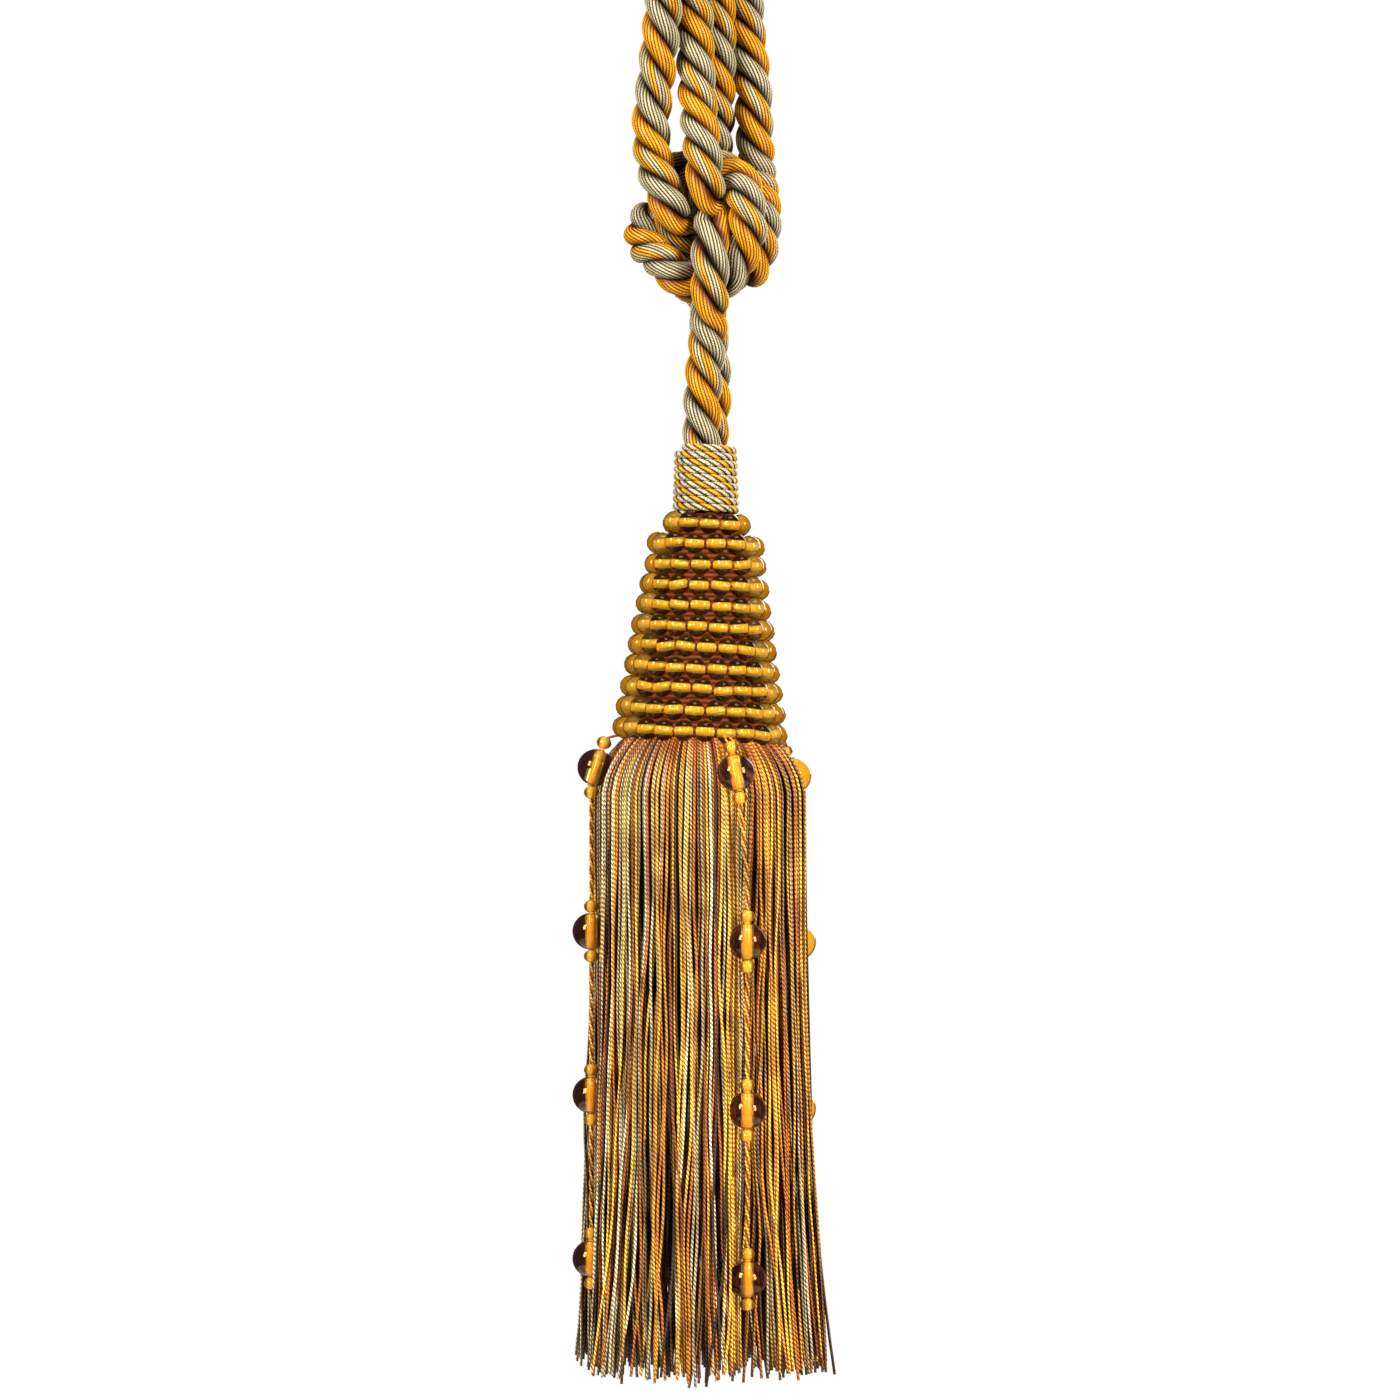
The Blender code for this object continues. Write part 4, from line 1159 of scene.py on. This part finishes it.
# Its dark colour is painted shade between the wraps.
heading_satin = wrapped_satin("brown thread, wound on the heading", "#7A3A10", "#2E1206", 0.7)
finish_turned(heading, "skirt_heading", heading_satin)

# The bead drops: four strings sewn under the last row of beads, each of four large beads with a small
# amber one above and below, on a doubled and twisted gold thread that shows between them. The large
# beads are clear brown glass, and golden amber on the right, all with an orange lining.
DROP_THREAD_RADIUS = 0.00055
DROP_PLY_RADIUS = 0.58 * DROP_THREAD_RADIUS
DROP_PLY_OFFSET = 0.55 * DROP_THREAD_RADIUS
DROP_TWIST_PITCH = 0.0075
DROP_THREAD_POINTS = 70
DROP_THREAD_SIDES = 8
DROP_THREAD_TUCK = 0.0004
SEWN_RADIUS = 0.0195
SEWN_TURN = 0.04
SEWN_HEIGHT = 0.0006
SEWN_SPREAD = 0.0009
SEWN_BOW = 0.0016
LARGE_LINING_RADIUS = 0.00080
LARGE_WIDE = 2 * LARGE_BEAD_RADIUS * 1.05
SMALL_WIDE = 2 * SMALL_BEAD_RADIUS * 1.18
LARGE_TO_SMALL = 0.49 * LARGE_WIDE + 0.42 * SMALL_WIDE
SEWN_ABOVE_BEAD = 1.2 * SMALL_BEAD_RADIUS
AXIS_REACH = 0.003


def drop_point(side, z):
    """The middle of a drop's string at a height."""
    angle, radius = drop_place(side, z)
    return around(angle, radius, z)


def on_drop(side, z, bead_sizes, lining_sizes):
    """A bead's place on its string and its lining's: the axes follow the string there."""
    axis = unit(drop_point(side, np.array(z + AXIS_REACH)) - drop_point(side, np.array(z - AXIS_REACH)))
    sideways = unit(np.cross(np.array([0, 1.0, 0]), axis))
    axes = np.stack([sideways, np.cross(axis, sideways), axis])
    middle = drop_point(side, np.array(z))
    return [(middle, axes, np.array(sizes)) for sizes in (bead_sizes, lining_sizes)]


large_sizes = (LARGE_WIDE, LARGE_WIDE, 0.98 * LARGE_WIDE)
large_lining_sizes = (LARGE_LINING_RADIUS, LARGE_LINING_RADIUS, 1.03 * LARGE_WIDE)
small_sizes = (SMALL_WIDE, SMALL_WIDE, 0.85 * SMALL_WIDE)
small_lining_sizes = (0.40 * SMALL_WIDE, 0.40 * SMALL_WIDE, 0.84 * SMALL_WIDE)
large_places = {"right": [], "others": []}
large_lining_places = []
drop_small_places = []
drop_small_linings = []
drop_threads = []
drop_firsts = []
for side in BEAD_DROPS:
    heights = large_bead_heights(side)
    for station, height in enumerate(heights):
        place, lining_place = on_drop(side, height, large_sizes, large_lining_sizes)
        large_places[side if side == "right" else "others"].append(place)
        large_lining_places.append(lining_place)
        for step in (1, -1):
            z = height + step * LARGE_TO_SMALL
            place, lining_place = on_drop(side, z, small_sizes, small_lining_sizes)
            drop_small_places.append(place)
            drop_small_linings.append(lining_place)
        if station == 0:
            # The two threads that tie the drop on, a little apart, from under the last row of beads.
            angle, _ = drop_place(side, height)
            outwards, rightwards = outwards_at(angle), outwards_at(angle + math.pi / 2)
            sewn = around(angle - SEWN_TURN, SEWN_RADIUS, np.array(ROOT_Z + SEWN_HEIGHT))
            bead = drop_point(side, np.array(height + LARGE_BEAD_RADIUS + SEWN_ABOVE_BEAD))
            along = np.linspace(0, 1, DROP_THREAD_POINTS)[:, None]
            for lean in (-SEWN_SPREAD, SEWN_SPREAD):
                bow = (lean * rightwards + SEWN_BOW * outwards) * np.sin(np.pi * along)
                line = sewn + (bead - sewn) * along + bow
                drop_threads.append(line)
                drop_firsts.append(np.broadcast_to(outwards, line.shape))
        if station + 1 < len(heights):
            # The doubled thread from this large bead's lower small bead to the next one's upper.
            beads = LARGE_BEAD_RADIUS + 2 * SMALL_BEAD_RADIUS - DROP_THREAD_TUCK
            z = np.linspace(height - beads, heights[station + 1] + beads, DROP_THREAD_POINTS)
            angle, _ = drop_place(side, z)
            outwards, rightwards = outwards_at(angle), outwards_at(angle + math.pi / 2)
            for half in (0, 0.5):
                wind = 2 * np.pi * ((z[0] - z) / DROP_TWIST_PITCH + half)[:, None]
                turned_out = np.cos(wind) * outwards + np.sin(wind) * rightwards
                drop_threads.append(drop_point(side, z) + DROP_PLY_OFFSET * turned_out)
                drop_firsts.append(turned_out)
# Brown glass is painted nearly black beside its bar, its own brown with painted shade, and golden glass is
# painted golden all over, as one with its bar; the rim colours of all three are painted shade.
brown_glass = bead_glass(
    "clear brown glass", "#F0BC5C", "#301614", "#3A1A12", "#6A3A20", (0.27, 0.34), (0.95, 0.50)
)
gold_glass = bead_glass(
    "golden amber glass", "#F6BC30", "#D29218", "#8A520C", "#D29218", (0.29, 0.80), (0.60, 0.25)
)
small_amber_glass = bead_glass(
    "small golden amber glass", "#F0CC58", "#6C3E08", "#8A5A10", "#A86C10", (0.30, 0.72), (0.85, 0.14)
)
orange_lining = bead_lining("orange enamel lining", "#CE921A", "#B27A10")
# The drops' gold thread: its dark colour is painted shade, with no painted shade under the head.
drop_gold = skirt_thread("orange gold satin thread", "#F6BE3C", "#8C4A0C", head_shade=0.0)
large_bead = bead_model("large_bead_model", 32, 20)
large_bar = lining_model("large_lining_model", 20)
round_bead = bead_model("round_bead_model", 16, 10)
for name, model, places, finish in (
    ("drop_large_glass", large_bead, large_places["others"], brown_glass),
    ("drop_large_amber_glass", large_bead, large_places["right"], gold_glass),
    ("drop_large_linings", large_bar, large_lining_places, orange_lining),
    ("drop_small_glass", round_bead, drop_small_places, small_amber_glass),
    ("drop_small_linings", small_bead, drop_small_linings, orange_lining),
):
    piece = copies_piece(name, model, places, finish)
    piece.visible_shadow = finish is orange_lining
    if name == "drop_large_glass":
        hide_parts("bead_drop_front", "bead_drop_right", "bead_drop_back", "bead_drop_left")
paths, first = np.stack(drop_threads), np.stack(drop_firsts)
piece = tubes_piece(
    "drop_threads", paths, first, 0, DROP_PLY_RADIUS, DROP_THREAD_SIDES, 0, drop_gold
)
add_attribute(piece, "dye", np.ones(len(piece.data.vertices)))

# The models that the beads and linings were copied from are no pieces of the tassel.
for model in (small_bead, lining_bar, large_bead, large_bar, round_bead):
    bpy.data.objects.remove(model, do_unlink=True)
